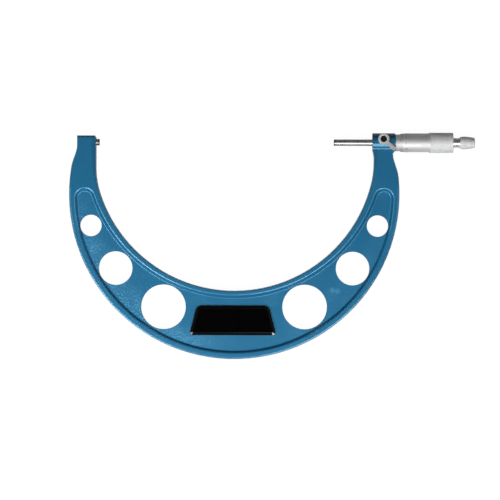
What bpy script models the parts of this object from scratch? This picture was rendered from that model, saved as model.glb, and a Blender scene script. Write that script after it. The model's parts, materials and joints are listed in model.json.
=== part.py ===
"""Outside micrometer for 225 to 250 mm, lying face up at its smallest reading.

The origin is the centre of the anvil's measuring face. +X runs along the spindle to the ratchet,
+Y points out of the throat and +Z points to the reader of the scale. All sizes are in metres.
"""

import math

import bmesh
import bpy
from mathutils import Vector

# Measuring range
LOWEST_READING = 0.2250
TRAVEL = 0.0250

# Fits
RUNNING_FIT = 0.00006
FACET_ALLOWANCE = 0.00002
PRESS_FIT = 0.00005
SEAT_GAP = 0.0002
CLOSE_GAP = 0.00005

# Small edge breaks, reliefs and hidden overlaps
EDGE_BREAK = 0.0003
RELIEF = 0.0003
TUCK = 0.0001

# Frame, seen from the front
ANVIL_REACH = 0.0032
SPINDLE_REACH = 0.0372
ARM_WIDTH = 0.0184
ARM_TOP = 0.0063
ARM_CHAMFER_ALONG = 0.0013
ARM_CHAMFER_DOWN = 0.0021
THROAT_BULGE = 0.0027
THROAT_DROP = 0.0072
THROAT_BLEND = 0.0800
OUTER_BULGE = 0.0076
LEFT_SHOULDER_TOP = 0.0035
LEFT_SHOULDER_FOOT = 0.0240
RIGHT_SHOULDER_TOP = 0.0105
RIGHT_SHOULDER_FOOT = 0.0340
SHOULDER_TOP_PULL = 0.30
SHOULDER_FOOT_PULL = 0.40
BOW_DEPTH = 0.0656
FRAME_THICKNESS = 0.0140
EDGE_ROUND = 0.0018

# Recess between the rims, and the lightening holes
WEB_THICKNESS = 0.0070
THROAT_RIM_BELOW = 0.0045
THROAT_RIM_BESIDE = 0.0067
OUTER_RIM = 0.0054
RECESS_END_RADIUS = 0.0096
RECESS_WALL_RUN = 0.0031
HOLE_ANGLES = (27.9, 45.0, 65.8)
HOLE_SHIFTS = (0.0011, 0.0004, -0.0004)
HOLE_MARGIN = 0.0090

# Boss that carries the spindle
BOSS_RADIUS = 0.00915
BOSS_PROUD = 0.0012
BOSS_PROUD_BACK = 0.0021
BOSS_SINK = 0.0010
NECK_FLARE = 0.0056
BOSS_FILLET = 0.0025
BOSS_CHAMFER = 0.0005

# Anvil, spindle and their carbide faces
SPINDLE_RADIUS = 0.003175
ANVIL_DEPTH = 0.76 * ARM_WIDTH
CARBIDE_LENGTH = 0.0015
FACE_CHAMFER = 0.00025
THREAD_RADIUS = 0.0036
THREAD_RUN_OUT = 0.0012
THREAD_TO_TAPER = 0.0038
TAPER_LENGTH = 0.0082
TAPER_FRONT_RADIUS = 0.0034
TAPER_BACK_RADIUS = 0.0028

# Inner sleeve and its adjusting nut
INNER_SLEEVE_RADIUS = 0.0055
INNER_SLEEVE_SETBACK = 0.0005
GUIDE_LENGTH = 0.0161
NUT_THREAD_LENGTH = 0.0170
SPLIT_WIDTH = 0.0008
SPLIT_COUNT = 3
SPLIT_SETBACK = 0.0010
SPLIT_REACH = 0.0090
THREAD_CLEARANCE = 0.0006
SLEEVE_SEAT_RADIUS = 0.0064
ADJUSTING_NUT_RADIUS = 0.0076
ADJUSTING_NUT_LENGTH = 0.0036
NUT_TAPER_DROP = 0.0003
SPANNER_SLOT_DEPTH = 0.0014
SPANNER_SLOT_WIDTH = 0.0014

# Graduated sleeve and thimble
SLEEVE_RADIUS = 0.0081
SLEEVE_SHOWING = 0.0050
SLEEVE_OVERLAP = 0.0028
SPANNER_HOLE_RADIUS = 0.0008
THIMBLE_RADIUS = 0.0091
THIMBLE_LIP = 0.0004
THIMBLE_BEVEL_LENGTH = 0.0044
THIMBLE_LENGTH = 0.0509
BAND_RADIUS = 0.0098
BAND_LENGTH = 0.0225
BAND_STEP = 0.0015
BAND_CHAMFER = 0.0006

# Ratchet stop
STUD_RADIUS = 0.0015
STUD_DEPTH = 0.0060
FLANGE_RADIUS = 0.0048
FLANGE_LENGTH = 0.0031
RATCHET_GAP = 0.00035
SHAFT_RADIUS = 0.0025
SHAFT_FLAT = 0.0021
JOURNAL_RADIUS = 0.0019
SPRING_LENGTH = 0.0056
SPRING_TURNS = 4.5
SPRING_WIRE = 0.00035
SPRING_RADIUS = 0.0033
CLAW_RADIUS = 0.0040
CLAW_CLEARANCE = 0.00025
CLAW_LENGTH = 0.0024
TOOTH_COUNT = 12
TOOTH_HEIGHT = 0.0006
TOOTH_SLOPE = 0.88
TOOTH_GAP = 0.00014
TOOTH_BACKLASH = math.radians(1.0)
CROWN_CLEARANCE = 0.0003
CROWN_LENGTH = 0.0014
KNOB_COLLAR_LENGTH = 0.0026
KNOB_LENGTH = 0.0172
KNOB_RADIUS = 0.00625
KNOB_FRONT_RADIUS = 0.0056
KNOB_TAIL_RADIUS = 0.00505
KNOB_BULGE_AT = 0.0070
KNOB_WALL = 0.0029
KNOB_TAIL_EDGE = 0.0007
KNOB_WELL_CLEARANCE = 0.0003
CAP_HEAD_RADIUS = 0.0027
CAP_HEAD_LENGTH = 0.0016
CAP_SHANK_RADIUS = 0.0008
CAP_SHANK_LENGTH = 0.0034
CAP_SLOT_WIDTH = 0.0006
CAP_SLOT_DEPTH = 0.0007

# Spindle lock
LOCK_ALONG = 0.0105
LOCK_ABOVE = 0.0034
LOCK_PAD_RADIUS = 0.0053
LOCK_PAD_TOP = 0.00945
LOCK_PIN_RADIUS = 0.00275
LOCK_PIN_HALF = 0.0072
LOCK_PIN_CLEARANCE = 0.00012
LOCK_SCREW_RADIUS = 0.0015
LOCK_SCREW_DEPTH = 0.0030
LOCK_HEAD_RADIUS = 0.0030
LOCK_SOCKET_FLAT = 0.00125
LOCK_SOCKET_DEPTH = 0.0012
WASHER_RADIUS = 0.0047
WASHER_THICKNESS = 0.0003
LEVER_HUB_RADIUS = 0.0055
LEVER_HUB_HEIGHT = 0.0023
LEVER_FLOOR = 0.0006
LEVER_REACH = 0.0150
LEVER_HALF_WIDTH = 0.0023
LEVER_NECK_HALF_WIDTH = 0.0020
LEVER_EDGE = 0.0004
LEVER_WELL_CLEARANCE = 0.00012
LEVER_TIP_RISE = 0.0006
LEVER_ANGLE = -43.0

# Insulating plates
PLATE_TOP_WIDTH = 0.0692
PLATE_BOTTOM_WIDTH = 0.0836
PLATE_HEIGHT = 0.0282
PLATE_RISE = 0.0043
PLATE_SHIFT = 0.0012
PLATE_THICKNESS = 0.0030
PLATE_TOP_CORNER = 0.0034
PLATE_BOTTOM_CORNER = 0.0018
PLATE_LEAST_CORNER = 0.0003
PLATE_BEVEL_WIDTH = 0.0026
PLATE_BEVEL_HEIGHT = 0.0008

# Facets
ARC_STEP = math.radians(3.5)
SHOULDER_STEPS = 6
CORNER_STEPS = 3
GRIP_STEPS = 7
FINE_SEGMENTS = 48
SEGMENTS = 32
SMALL_SEGMENTS = 20

# Places along the spindle, worked out from the sizes above
BOSS_FRONT = LOWEST_READING + SPINDLE_REACH
BOSS_BACK = BOSS_FRONT + BOSS_PROUD + ARM_WIDTH + BOSS_PROUD_BACK
MIDDLE = (BOSS_FRONT - ANVIL_REACH) / 2
THIMBLE_FRONT = BOSS_BACK + SLEEVE_SHOWING
THIMBLE_BACK = THIMBLE_FRONT + THIMBLE_LENGTH
GUIDE_END = BOSS_FRONT + INNER_SLEEVE_SETBACK + GUIDE_LENGTH
THREAD_FRONT = GUIDE_END + SEAT_GAP
NUT_FRONT = THREAD_FRONT + TRAVEL + SEAT_GAP
NUT_BACK = NUT_FRONT + NUT_THREAD_LENGTH
SLEEVE_BACK = THIMBLE_FRONT + TRAVEL + SLEEVE_OVERLAP
TAPER_FRONT = NUT_BACK + THREAD_TO_TAPER
TAPER_BACK = TAPER_FRONT + TAPER_LENGTH
FLANGE_FRONT = THIMBLE_BACK + SEAT_GAP
FLANGE_BACK = FLANGE_FRONT + FLANGE_LENGTH
KNOB_FRONT = FLANGE_BACK + RATCHET_GAP
CLAW_FRONT = FLANGE_BACK + SPRING_LENGTH + SEAT_GAP
CLAW_BACK = CLAW_FRONT + CLAW_LENGTH
CROWN_BACK = CLAW_BACK + TOOTH_GAP + TOOTH_HEIGHT + CROWN_LENGTH
KNOB_WALL_FRONT = CROWN_BACK + CLOSE_GAP
KNOB_WALL_BACK = KNOB_WALL_FRONT + KNOB_WALL
JOURNAL_BACK = KNOB_WALL_BACK + SEAT_GAP

# Radii and heights that follow from the sizes above
THROAT_HALF = MIDDLE + ANVIL_REACH
THROAT_RADIUS = THROAT_HALF + THROAT_BULGE
OUTER_RADIUS = THROAT_HALF + ARM_WIDTH + OUTER_BULGE
OUTER_DROP = THROAT_DROP + THROAT_RADIUS + BOW_DEPTH - OUTER_RADIUS
RECESS_DROP = THROAT_DROP - (THROAT_RIM_BESIDE - THROAT_RIM_BELOW)
HALF_THICKNESS = FRAME_THICKNESS / 2
HALF_WEB = WEB_THICKNESS / 2
THIMBLE_BORE = SLEEVE_RADIUS + RUNNING_FIT + FACET_ALLOWANCE
KNOB_BORE = CLAW_RADIUS + CLAW_CLEARANCE
LOCK_X = BOSS_FRONT + LOCK_ALONG
LOCK_BORE = LOCK_PIN_RADIUS + RUNNING_FIT
WASHER_TOP = LOCK_PAD_TOP + WASHER_THICKNESS + CLOSE_GAP
LEVER_BASE = WASHER_TOP + CLOSE_GAP
LOCK_HEAD_BASE = LEVER_BASE + LEVER_FLOOR + CLOSE_GAP
LEVER_TOP = LEVER_BASE + LEVER_HUB_HEIGHT


def clear_scene():
    for item in list(bpy.data.objects):
        bpy.data.objects.remove(item, do_unlink=True)


def linear(channel):
    """Turns one display colour value, 0 to 255, into a linear one."""
    value = channel / 255
    return value / 12.92 if value <= 0.04045 else ((value + 0.055) / 1.055) ** 2.4


def material(name, colour, roughness, metallic):
    made = bpy.data.materials.new(name)
    made.use_nodes = True
    shader = made.node_tree.nodes["Principled BSDF"]
    shader.inputs["Base Color"].default_value = (*[linear(c) for c in colour], 1.0)
    shader.inputs["Roughness"].default_value = roughness
    shader.inputs["Metallic"].default_value = metallic
    return made


def polar(centre, radius, angle):
    return (centre[0] + radius * math.cos(angle), centre[1] + radius * math.sin(angle))


def arc(centre, radius, start, end, step=ARC_STEP):
    """Points along an arc, both ends included, in even steps no longer than step."""
    count = max(1, math.ceil(abs(end - start) / step))
    return [polar(centre, radius, start + (end - start) * i / count) for i in range(count + 1)]


def new_object(name, mesh_maker, finish, parent=None, location=(0, 0, 0)):
    """Makes a mesh object from what mesh_maker adds to an empty bmesh."""
    bm = bmesh.new()
    mesh_maker(bm)
    bmesh.ops.recalc_face_normals(bm, faces=bm.faces)
    mesh = bpy.data.meshes.new(name)
    bm.to_mesh(mesh)
    bm.free()
    item = bpy.data.objects.new(name, mesh)
    bpy.context.scene.collection.objects.link(item)
    item.location = location
    if parent:
        item.parent = parent
        item.matrix_parent_inverse = parent.matrix_world.inverted()
    if finish:
        mesh.materials.append(finish)
        mesh.shade_smooth()
        mesh.set_sharp_from_angle(angle=math.radians(35))
    return item


def new_cutter(name, mesh_maker, location=(0, 0, 0)):
    item = new_object(name, mesh_maker, None, location=location)
    item.hide_render = True
    item.display_type = "WIRE"
    return item


def combine(item, tool, operation):
    modifier = item.modifiers.new(tool.name, "BOOLEAN")
    modifier.operation = operation
    modifier.solver = "EXACT"
    modifier.object = tool


def new_pivot(name, location):
    """An empty on the axis of a moving group, which carries the group's pieces."""
    pivot = bpy.data.objects.new(name, None)
    bpy.context.scene.collection.objects.link(pivot)
    pivot.location = location
    bpy.context.view_layer.update()
    return pivot


def prism(bm, outline, low, high):
    """Extrudes an outline in the XY plane from low to high."""
    bottom = [bm.verts.new((x, y, low)) for x, y in outline]
    face = bm.faces.new(bottom)
    raised = bmesh.ops.extrude_face_region(bm, geom=[face])
    top = [v for v in raised["geom"] if isinstance(v, bmesh.types.BMVert)]
    bmesh.ops.translate(bm, verts=top, vec=(0, 0, high - low))
    return bottom, top


def loft(bm, rings):
    """Joins rings of equal length, and closes the first and the last one."""
    made = [[bm.verts.new(point) for point in ring] for ring in rings]
    for lower, upper in zip(made, made[1:]):
        for i in range(len(lower)):
            j = (i + 1) % len(lower)
            bm.faces.new((lower[i], lower[j], upper[j], upper[i]))
    bm.faces.new(made[0])
    bm.faces.new(made[-1])


def turned(profile, segments):
    """A maker of the solid that a closed (x, radius) profile sweeps round the X axis."""

    def make(bm):
        points = [bm.verts.new((x, radius, 0)) for x, radius in profile]
        edges = [
            bm.edges.new((points[i], points[(i + 1) % len(points)]))
            for i in range(len(points))
            if profile[i][1] > 0 or profile[(i + 1) % len(points)][1] > 0
        ]
        bmesh.ops.spin(
            bm,
            geom=points + edges,
            cent=(0, 0, 0),
            axis=(1, 0, 0),
            angle=2 * math.pi,
            steps=segments,
            use_merge=True,
        )
        bmesh.ops.remove_doubles(bm, verts=bm.verts, dist=1e-7)

    return make


def rod_along_x(front, back, radius, segments):
    return turned([(front, 0), (front, radius), (back, radius), (back, 0)], segments)


def rod_along_z(low, high, radius, segments):
    def make(bm):
        outline = [polar((0, 0), radius, 2 * math.pi * i / segments) for i in range(segments)]
        prism(bm, outline, low, high)

    return make


def block(low, high):
    def make(bm):
        outline = [(low[0], low[1]), (high[0], low[1]), (high[0], high[1]), (low[0], high[1])]
        prism(bm, outline, low[2], high[2])

    return make


def throat_centre():
    return (MIDDLE, -THROAT_DROP)


def outer_centre():
    return (MIDDLE, -OUTER_DROP)


def throat_blend(half_width):
    """Centre height of the arc that leads a straight arm into the throat's arc, and its end angle."""
    rise = (THROAT_RADIUS - THROAT_BLEND) ** 2 - (half_width - THROAT_BLEND) ** 2
    drop = math.sqrt(rise)
    return drop, math.atan2(drop, half_width - THROAT_BLEND)


def bezier(start, pull_start, pull_end, end, count):
    """Points along a cubic curve, both ends included."""
    points = []
    for i in range(count + 1):
        t = i / count
        weights = ((1 - t) ** 3, 3 * t * (1 - t) ** 2, 3 * t * t * (1 - t), t**3)
        corners = (start, pull_start, pull_end, end)
        points.append(tuple(sum(w * c[k] for w, c in zip(weights, corners)) for k in (0, 1)))
    return points


def foot_angle(foot):
    """The angle on the outer bow at which a shoulder begins, foot below the spindle's axis."""
    return math.asin((foot - OUTER_DROP) / OUTER_RADIUS)


def shoulder(half_width, top, foot):
    """The curve from the right arm's back down to the bow, which meets both without a corner."""
    angle = -foot_angle(foot)
    end = polar(outer_centre(), OUTER_RADIUS, angle)
    start = (MIDDLE + half_width, -top)
    apart = math.dist(start, end)
    foot_pull = polar(end, SHOULDER_FOOT_PULL * apart, angle + math.pi / 2)
    top_pull = (start[0], start[1] - SHOULDER_TOP_PULL * apart)
    return bezier(start, top_pull, foot_pull, end, SHOULDER_STEPS)


def left_back():
    curve = shoulder(THROAT_HALF + ARM_WIDTH, LEFT_SHOULDER_TOP, LEFT_SHOULDER_FOOT)
    return [(2 * MIDDLE - x, y) for x, y in curve]


def right_back():
    half = THROAT_HALF + BOSS_PROUD + ARM_WIDTH
    return shoulder(half, RIGHT_SHOULDER_TOP, RIGHT_SHOULDER_FOOT)[::-1]


def right_throat():
    half = THROAT_HALF + BOSS_PROUD
    drop, angle = throat_blend(half)
    centre = (MIDDLE + half - THROAT_BLEND, -THROAT_DROP - drop)
    return arc(centre, THROAT_BLEND, 0, -angle)


def left_throat():
    drop, angle = throat_blend(THROAT_HALF)
    centre = (MIDDLE - THROAT_HALF + THROAT_BLEND, -THROAT_DROP - drop)
    return arc(centre, THROAT_BLEND, math.pi + angle, math.pi)


def neck_outline():
    """The right arm where it runs up into the boss, from its back to the throat side."""
    foot = BOSS_SINK - BOSS_RADIUS
    return [
        (BOSS_BACK - TUCK, foot),
        (BOSS_BACK - TUCK, foot / 3),
        (BOSS_FRONT + TUCK, foot / 3),
        (BOSS_FRONT + TUCK, foot),
        (BOSS_FRONT + BOSS_PROUD, foot - NECK_FLARE),
    ]


def frame_outline():
    """The frame from the front, anticlockwise from the left arm's top corner."""
    left_angle = math.pi + foot_angle(LEFT_SHOULDER_FOOT)
    right_angle = 2 * math.pi - foot_angle(RIGHT_SHOULDER_FOOT)
    _, right_end = throat_blend(THROAT_HALF + BOSS_PROUD)
    _, left_end = throat_blend(THROAT_HALF)
    bow = arc(outer_centre(), OUTER_RADIUS, left_angle, right_angle)
    throat = arc(throat_centre(), THROAT_RADIUS, -right_end, left_end - math.pi)
    back = -ANVIL_REACH - ARM_WIDTH
    return (
        [(back, ARM_TOP)]
        + left_back()
        + bow[1:-1]
        + right_back()
        + neck_outline()
        + right_throat()
        + throat[1:-1]
        + left_throat()
        + [(-ANVIL_REACH, ARM_TOP - ARM_CHAMFER_DOWN), (-ANVIL_REACH - ARM_CHAMFER_ALONG, ARM_TOP)]
    )


def make_frame_body(bm):
    """The flat frame with all its long edges rounded."""
    bottom, top = prism(bm, frame_outline(), -HALF_THICKNESS, HALF_THICKNESS)
    rim = set(bottom + top)
    edges = [e for e in bm.edges if rim.issuperset(e.verts) and len({v.co.z for v in e.verts}) == 1]
    bmesh.ops.bevel(
        bm,
        geom=edges,
        offset=EDGE_ROUND,
        offset_type="OFFSET",
        segments=2,
        profile=0.5,
        affect="EDGES",
        clamp_overlap=False,
    )


def boss_section():
    """The boss from its end, as (y, z): a circle with a fillet down to each face of the arm."""
    side = HALF_THICKNESS - TUCK / 3
    fillet_y = -math.sqrt((BOSS_RADIUS + BOSS_FILLET) ** 2 - (side + BOSS_FILLET) ** 2)
    fillet_z = side + BOSS_FILLET
    meets = math.atan2(fillet_z, fillet_y)
    crown = arc((0, 0), BOSS_RADIUS, -meets, meets, math.radians(9))
    fillet = arc((fillet_y, fillet_z), BOSS_FILLET, meets - math.pi, -math.pi / 2, math.radians(18))
    bottom = BOSS_SINK - BOSS_RADIUS
    upper = crown + fillet[1:] + [(bottom, side)]
    lower = [(y, -z) for y, z in fillet[1:]] + [(bottom, -side)]
    return upper + lower[::-1]


def make_boss(bm):
    section = boss_section()
    loft(bm, [[(x, y, z) for y, z in section] for x in (BOSS_FRONT, BOSS_BACK)])
    ends = [e for e in bm.edges if len({round(v.co.x, 6) for v in e.verts}) == 1]
    bmesh.ops.bevel(bm, geom=ends, offset=BOSS_CHAMFER, segments=1, affect="EDGES")


def recess_end():
    """Centre of the round end of the recess, right of the middle."""
    near = THROAT_RADIUS + THROAT_RIM_BESIDE + RECESS_END_RADIUS
    far = OUTER_RADIUS - OUTER_RIM - RECESS_END_RADIUS
    apart = OUTER_DROP - RECESS_DROP
    down = (near**2 - far**2 + apart**2) / (2 * apart)
    return math.sqrt(near**2 - down**2), -RECESS_DROP - down


def recess_ring(inset, height):
    """The outline of the recess, moved in from its rims by inset, as points at one height."""
    along, down = recess_end()
    end = (MIDDLE + along, down)
    near = THROAT_RADIUS + THROAT_RIM_BESIDE + inset
    far = OUTER_RADIUS - OUTER_RIM - inset
    near_angle = math.atan2(down + RECESS_DROP, along)
    far_angle = math.atan2(down + OUTER_DROP, along)
    throat_side = arc((MIDDLE, -RECESS_DROP), near, -math.pi / 2, near_angle)
    round_end = arc(end, RECESS_END_RADIUS - inset, near_angle + math.pi, far_angle, math.radians(18))
    outer_side = arc(outer_centre(), far, far_angle, -math.pi / 2)
    right = throat_side + round_end[1:-1] + outer_side
    left = [(2 * MIDDLE - x, y) for x, y in right[1:-1]]
    return [(x, y, height) for x, y in right + left[::-1]]


def make_recesses(bm):
    """Two shallow dishes with sloping, rounded walls, one for each face."""
    depth = HALF_THICKNESS - HALF_WEB
    levels = [
        (-0.30, HALF_THICKNESS + 0.12 * depth),
        (0.08, HALF_THICKNESS - 0.10 * depth),
        (0.56, HALF_WEB + 0.26 * depth),
        (0.80, HALF_WEB + 0.07 * depth),
        (1.00, HALF_WEB),
    ]
    for side in (1, -1):
        loft(bm, [recess_ring(run * RECESS_WALL_RUN, side * height) for run, height in levels])


def bow_crossing(angle):
    """How far from the throat's centre a ray leaves the bow."""
    apart = OUTER_DROP - THROAT_DROP
    half_b = apart * math.sin(angle)
    return -half_b + math.sqrt(half_b**2 - apart**2 + OUTER_RADIUS**2)


def make_holes(bm):
    """Six round holes, each about midway between the throat and the bow's edge."""
    for degrees, shift in zip(HOLE_ANGLES, HOLE_SHIFTS):
        angle = math.radians(degrees)
        crossing = bow_crossing(-angle)
        middle = (THROAT_RADIUS + crossing) / 2 + shift
        radius = (crossing - THROAT_RADIUS) / 2 - HOLE_MARGIN
        for side in (1, -1):
            centre = (MIDDLE + side * middle * math.cos(angle), -THROAT_DROP - middle * math.sin(angle))
            outline = arc(centre, radius, 0, 2 * math.pi, math.radians(10))[:-1]
            prism(bm, outline, -FRAME_THICKNESS, FRAME_THICKNESS)


def make_frame(finish):
    frame = new_object("frame", make_frame_body, finish)
    pad = rod_along_z(HALF_WEB, LOCK_PAD_TOP, LOCK_PAD_RADIUS, SEGMENTS)
    lock_at = (LOCK_X, LOCK_ABOVE, 0)
    combine(frame, new_cutter("boss_stock", make_boss), "UNION")
    combine(frame, new_cutter("lock_pad_stock", pad, lock_at), "UNION")
    combine(frame, new_cutter("recess_cutter", make_recesses), "DIFFERENCE")
    combine(frame, new_cutter("hole_cutter", make_holes), "DIFFERENCE")
    anvil_bore = rod_along_x(
        -ANVIL_REACH - ANVIL_DEPTH, 0, SPINDLE_RADIUS + PRESS_FIT, SEGMENTS
    )
    combine(frame, new_cutter("anvil_bore_cutter", anvil_bore), "DIFFERENCE")
    sleeve_bore = rod_along_x(
        BOSS_FRONT - BOSS_RADIUS, BOSS_BACK + BOSS_RADIUS, INNER_SLEEVE_RADIUS + PRESS_FIT, SEGMENTS
    )
    combine(frame, new_cutter("sleeve_bore_cutter", sleeve_bore), "DIFFERENCE")
    lock_bore = rod_along_z(-LOCK_PIN_HALF - SEAT_GAP, 2 * LOCK_PAD_TOP, LOCK_BORE, SEGMENTS)
    combine(frame, new_cutter("lock_bore_cutter", lock_bore, lock_at), "DIFFERENCE")
    return frame


def make_anvil(steel, carbide):
    back = -ANVIL_REACH - ANVIL_DEPTH + SEAT_GAP
    front = -CARBIDE_LENGTH - CLOSE_GAP
    profile = [
        (back, 0),
        (back, SPINDLE_RADIUS - FACE_CHAMFER),
        (back + FACE_CHAMFER, SPINDLE_RADIUS),
        (front, SPINDLE_RADIUS),
        (front, 0),
    ]
    new_object("anvil", turned(profile, SEGMENTS), steel)
    new_object("anvil_tip", carbide_face(0, -1), carbide)


def carbide_face(face_x, inward):
    """A carbide disc whose measuring face is at face_x, and whose back lies inward of it."""
    back = face_x + inward * CARBIDE_LENGTH
    profile = [
        (face_x, 0),
        (face_x, SPINDLE_RADIUS - FACE_CHAMFER),
        (face_x + inward * FACE_CHAMFER, SPINDLE_RADIUS),
        (back, SPINDLE_RADIUS),
        (back, 0),
    ]
    return turned(profile, SEGMENTS)


def make_spindle(steel, pivot):
    """The spindle: ground rod, thread, and a taper that carries the thimble."""
    front = LOWEST_READING + CARBIDE_LENGTH + CLOSE_GAP
    relief = THREAD_RADIUS - RELIEF
    thread_back = NUT_BACK + THREAD_RUN_OUT
    hole = STUD_RADIUS + PRESS_FIT
    hole_front = TAPER_BACK - STUD_DEPTH - SEAT_GAP
    profile = [
        (front, 0),
        (front, SPINDLE_RADIUS),
        (THREAD_FRONT, SPINDLE_RADIUS),
        (THREAD_FRONT + RELIEF, THREAD_RADIUS),
        (thread_back, THREAD_RADIUS),
        (thread_back + RELIEF, relief),
        (TAPER_FRONT - RELIEF, relief),
        (TAPER_FRONT, TAPER_FRONT_RADIUS),
        (TAPER_BACK, TAPER_BACK_RADIUS),
        (TAPER_BACK, hole),
        (hole_front, hole),
        (hole_front - hole / 2, 0),
    ]
    new_object("spindle", turned(profile, SEGMENTS), steel, pivot)


def make_inner_sleeve(steel):
    """The fixed sleeve in the boss: spindle guide in front, split nut behind."""
    front = BOSS_FRONT + INNER_SLEEVE_SETBACK
    guide = SPINDLE_RADIUS + RUNNING_FIT
    nut = THREAD_RADIUS + RUNNING_FIT
    free = THREAD_RADIUS + THREAD_CLEARANCE
    step = BOSS_BACK + SEAT_GAP
    thread_start = SLEEVE_BACK + SEAT_GAP
    profile = [
        (front, guide),
        (front, INNER_SLEEVE_RADIUS),
        (step, INNER_SLEEVE_RADIUS),
        (step, SLEEVE_SEAT_RADIUS),
        (thread_start, SLEEVE_SEAT_RADIUS),
        (NUT_BACK, SLEEVE_SEAT_RADIUS - NUT_TAPER_DROP),
        (NUT_BACK, nut),
        (NUT_FRONT, nut),
        (NUT_FRONT - THREAD_CLEARANCE, free),
        (GUIDE_END, free),
        (GUIDE_END, guide),
    ]
    sleeve = new_object("inner_sleeve", turned(profile, FINE_SEGMENTS), steel)

    def make_splits(bm):
        low = -SPLIT_WIDTH / 2
        for i in range(SPLIT_COUNT):
            front, back = NUT_FRONT + SPLIT_SETBACK, NUT_BACK + SPLIT_SETBACK
            before = set(bm.verts)
            block((front, THREAD_RADIUS / 2, low), (back, SPLIT_REACH, -low))(bm)
            fresh = [v for v in bm.verts if v not in before]
            turn = 2 * math.pi * i / SPLIT_COUNT
            for vert in fresh:
                y, z = vert.co.y, vert.co.z
                vert.co.y = y * math.cos(turn) - z * math.sin(turn)
                vert.co.z = y * math.sin(turn) + z * math.cos(turn)

    combine(sleeve, new_cutter("split_cutter", make_splits), "DIFFERENCE")
    cross = rod_along_z(-BOSS_RADIUS, BOSS_RADIUS, LOCK_BORE, SEGMENTS)
    at = (LOCK_X, LOCK_ABOVE, 0)
    combine(sleeve, new_cutter("sleeve_cross_cutter", cross, at), "DIFFERENCE")


def make_adjusting_nut(steel):
    """The taper nut that closes the split sleeve on the spindle thread."""
    start = SLEEVE_BACK + SEAT_GAP
    run = NUT_BACK - start

    def seat(x):
        return SLEEVE_SEAT_RADIUS - NUT_TAPER_DROP * (x - start) / run + PRESS_FIT

    front = start + SEAT_GAP
    back = front + ADJUSTING_NUT_LENGTH
    profile = [
        (front, seat(front)),
        (front, ADJUSTING_NUT_RADIUS),
        (back, ADJUSTING_NUT_RADIUS),
        (back, seat(back)),
    ]
    nut = new_object("adjusting_nut", turned(profile, FINE_SEGMENTS), steel)
    reach = 1.5 * ADJUSTING_NUT_RADIUS
    half = SPANNER_SLOT_WIDTH / 2
    depth = SPANNER_SLOT_DEPTH
    slot = block((back - depth, -reach, -half), (back + depth, reach, half))
    combine(nut, new_cutter("spanner_slot_cutter", slot), "DIFFERENCE")


def make_graduated_sleeve(chrome):
    front = BOSS_BACK + SEAT_GAP
    bore = SLEEVE_SEAT_RADIUS + PRESS_FIT
    profile = [
        (front, bore),
        (front, SLEEVE_RADIUS - EDGE_BREAK),
        (front + EDGE_BREAK, SLEEVE_RADIUS),
        (SLEEVE_BACK - EDGE_BREAK, SLEEVE_RADIUS),
        (SLEEVE_BACK, SLEEVE_RADIUS - EDGE_BREAK),
        (SLEEVE_BACK, bore),
    ]
    sleeve = new_object("graduated_sleeve", turned(profile, FINE_SEGMENTS), chrome)
    hole = rod_along_z(-2 * SLEEVE_RADIUS, -SLEEVE_SEAT_RADIUS / 2, SPANNER_HOLE_RADIUS, SMALL_SEGMENTS)
    at = (BOSS_BACK + SLEEVE_SHOWING / 2, 0, 0)
    combine(sleeve, new_cutter("spanner_hole_cutter", hole, at), "DIFFERENCE")


def make_thimble(chrome, pivot):
    band_front = THIMBLE_BACK - BAND_LENGTH
    inside_back = TAPER_FRONT - SEAT_GAP
    seat_front = TAPER_FRONT_RADIUS + PRESS_FIT
    seat_back = TAPER_BACK_RADIUS + PRESS_FIT
    stud_way = STUD_RADIUS + SEAT_GAP
    profile = [
        (THIMBLE_FRONT, THIMBLE_BORE),
        (THIMBLE_FRONT, THIMBLE_BORE + THIMBLE_LIP),
        (THIMBLE_FRONT + THIMBLE_BEVEL_LENGTH, THIMBLE_RADIUS),
        (band_front - BAND_STEP, THIMBLE_RADIUS),
        (band_front, BAND_RADIUS),
        (THIMBLE_BACK - BAND_CHAMFER, BAND_RADIUS),
        (THIMBLE_BACK, BAND_RADIUS - BAND_CHAMFER),
        (THIMBLE_BACK, stud_way),
        (TAPER_BACK + SEAT_GAP, stud_way),
        (TAPER_BACK + SEAT_GAP, seat_back),
        (TAPER_FRONT, seat_front),
        (inside_back, seat_front + RELIEF),
        (inside_back, THIMBLE_BORE),
    ]
    new_object("thimble", turned(profile, FINE_SEGMENTS), chrome, pivot)


def flats_cutter(name, flat):
    """Two blocks that leave a shaft flat above and below the given half width."""

    def make(bm):
        reach = FLANGE_RADIUS
        front = FLANGE_BACK + SEAT_GAP
        for low, high in ((flat, reach), (-reach, -flat)):
            block((front, low, -reach), (JOURNAL_BACK + reach, high, reach))(bm)

    return new_cutter(name, make)


def make_ratchet_screw(steel, pivot):
    """The stud that holds the thimble on its taper, with the shaft that the ratchet turns on."""
    hole = CAP_SHANK_RADIUS + PRESS_FIT
    shaft_back = KNOB_WALL_FRONT - SEAT_GAP
    hole_end = JOURNAL_BACK - CAP_SHANK_LENGTH - SEAT_GAP
    profile = [
        (TAPER_BACK - STUD_DEPTH, 0),
        (TAPER_BACK - STUD_DEPTH, STUD_RADIUS),
        (FLANGE_FRONT, STUD_RADIUS),
        (FLANGE_FRONT, FLANGE_RADIUS),
        (FLANGE_BACK, FLANGE_RADIUS),
        (FLANGE_BACK, SHAFT_RADIUS),
        (shaft_back, SHAFT_RADIUS),
        (shaft_back, JOURNAL_RADIUS),
        (JOURNAL_BACK, JOURNAL_RADIUS),
        (JOURNAL_BACK, hole),
        (hole_end, hole),
        (hole_end - hole / 2, 0),
    ]
    screw = new_object("ratchet_screw", turned(profile, SEGMENTS), steel, pivot)
    combine(screw, flats_cutter("shaft_flat_cutter", SHAFT_FLAT), "DIFFERENCE")


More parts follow.
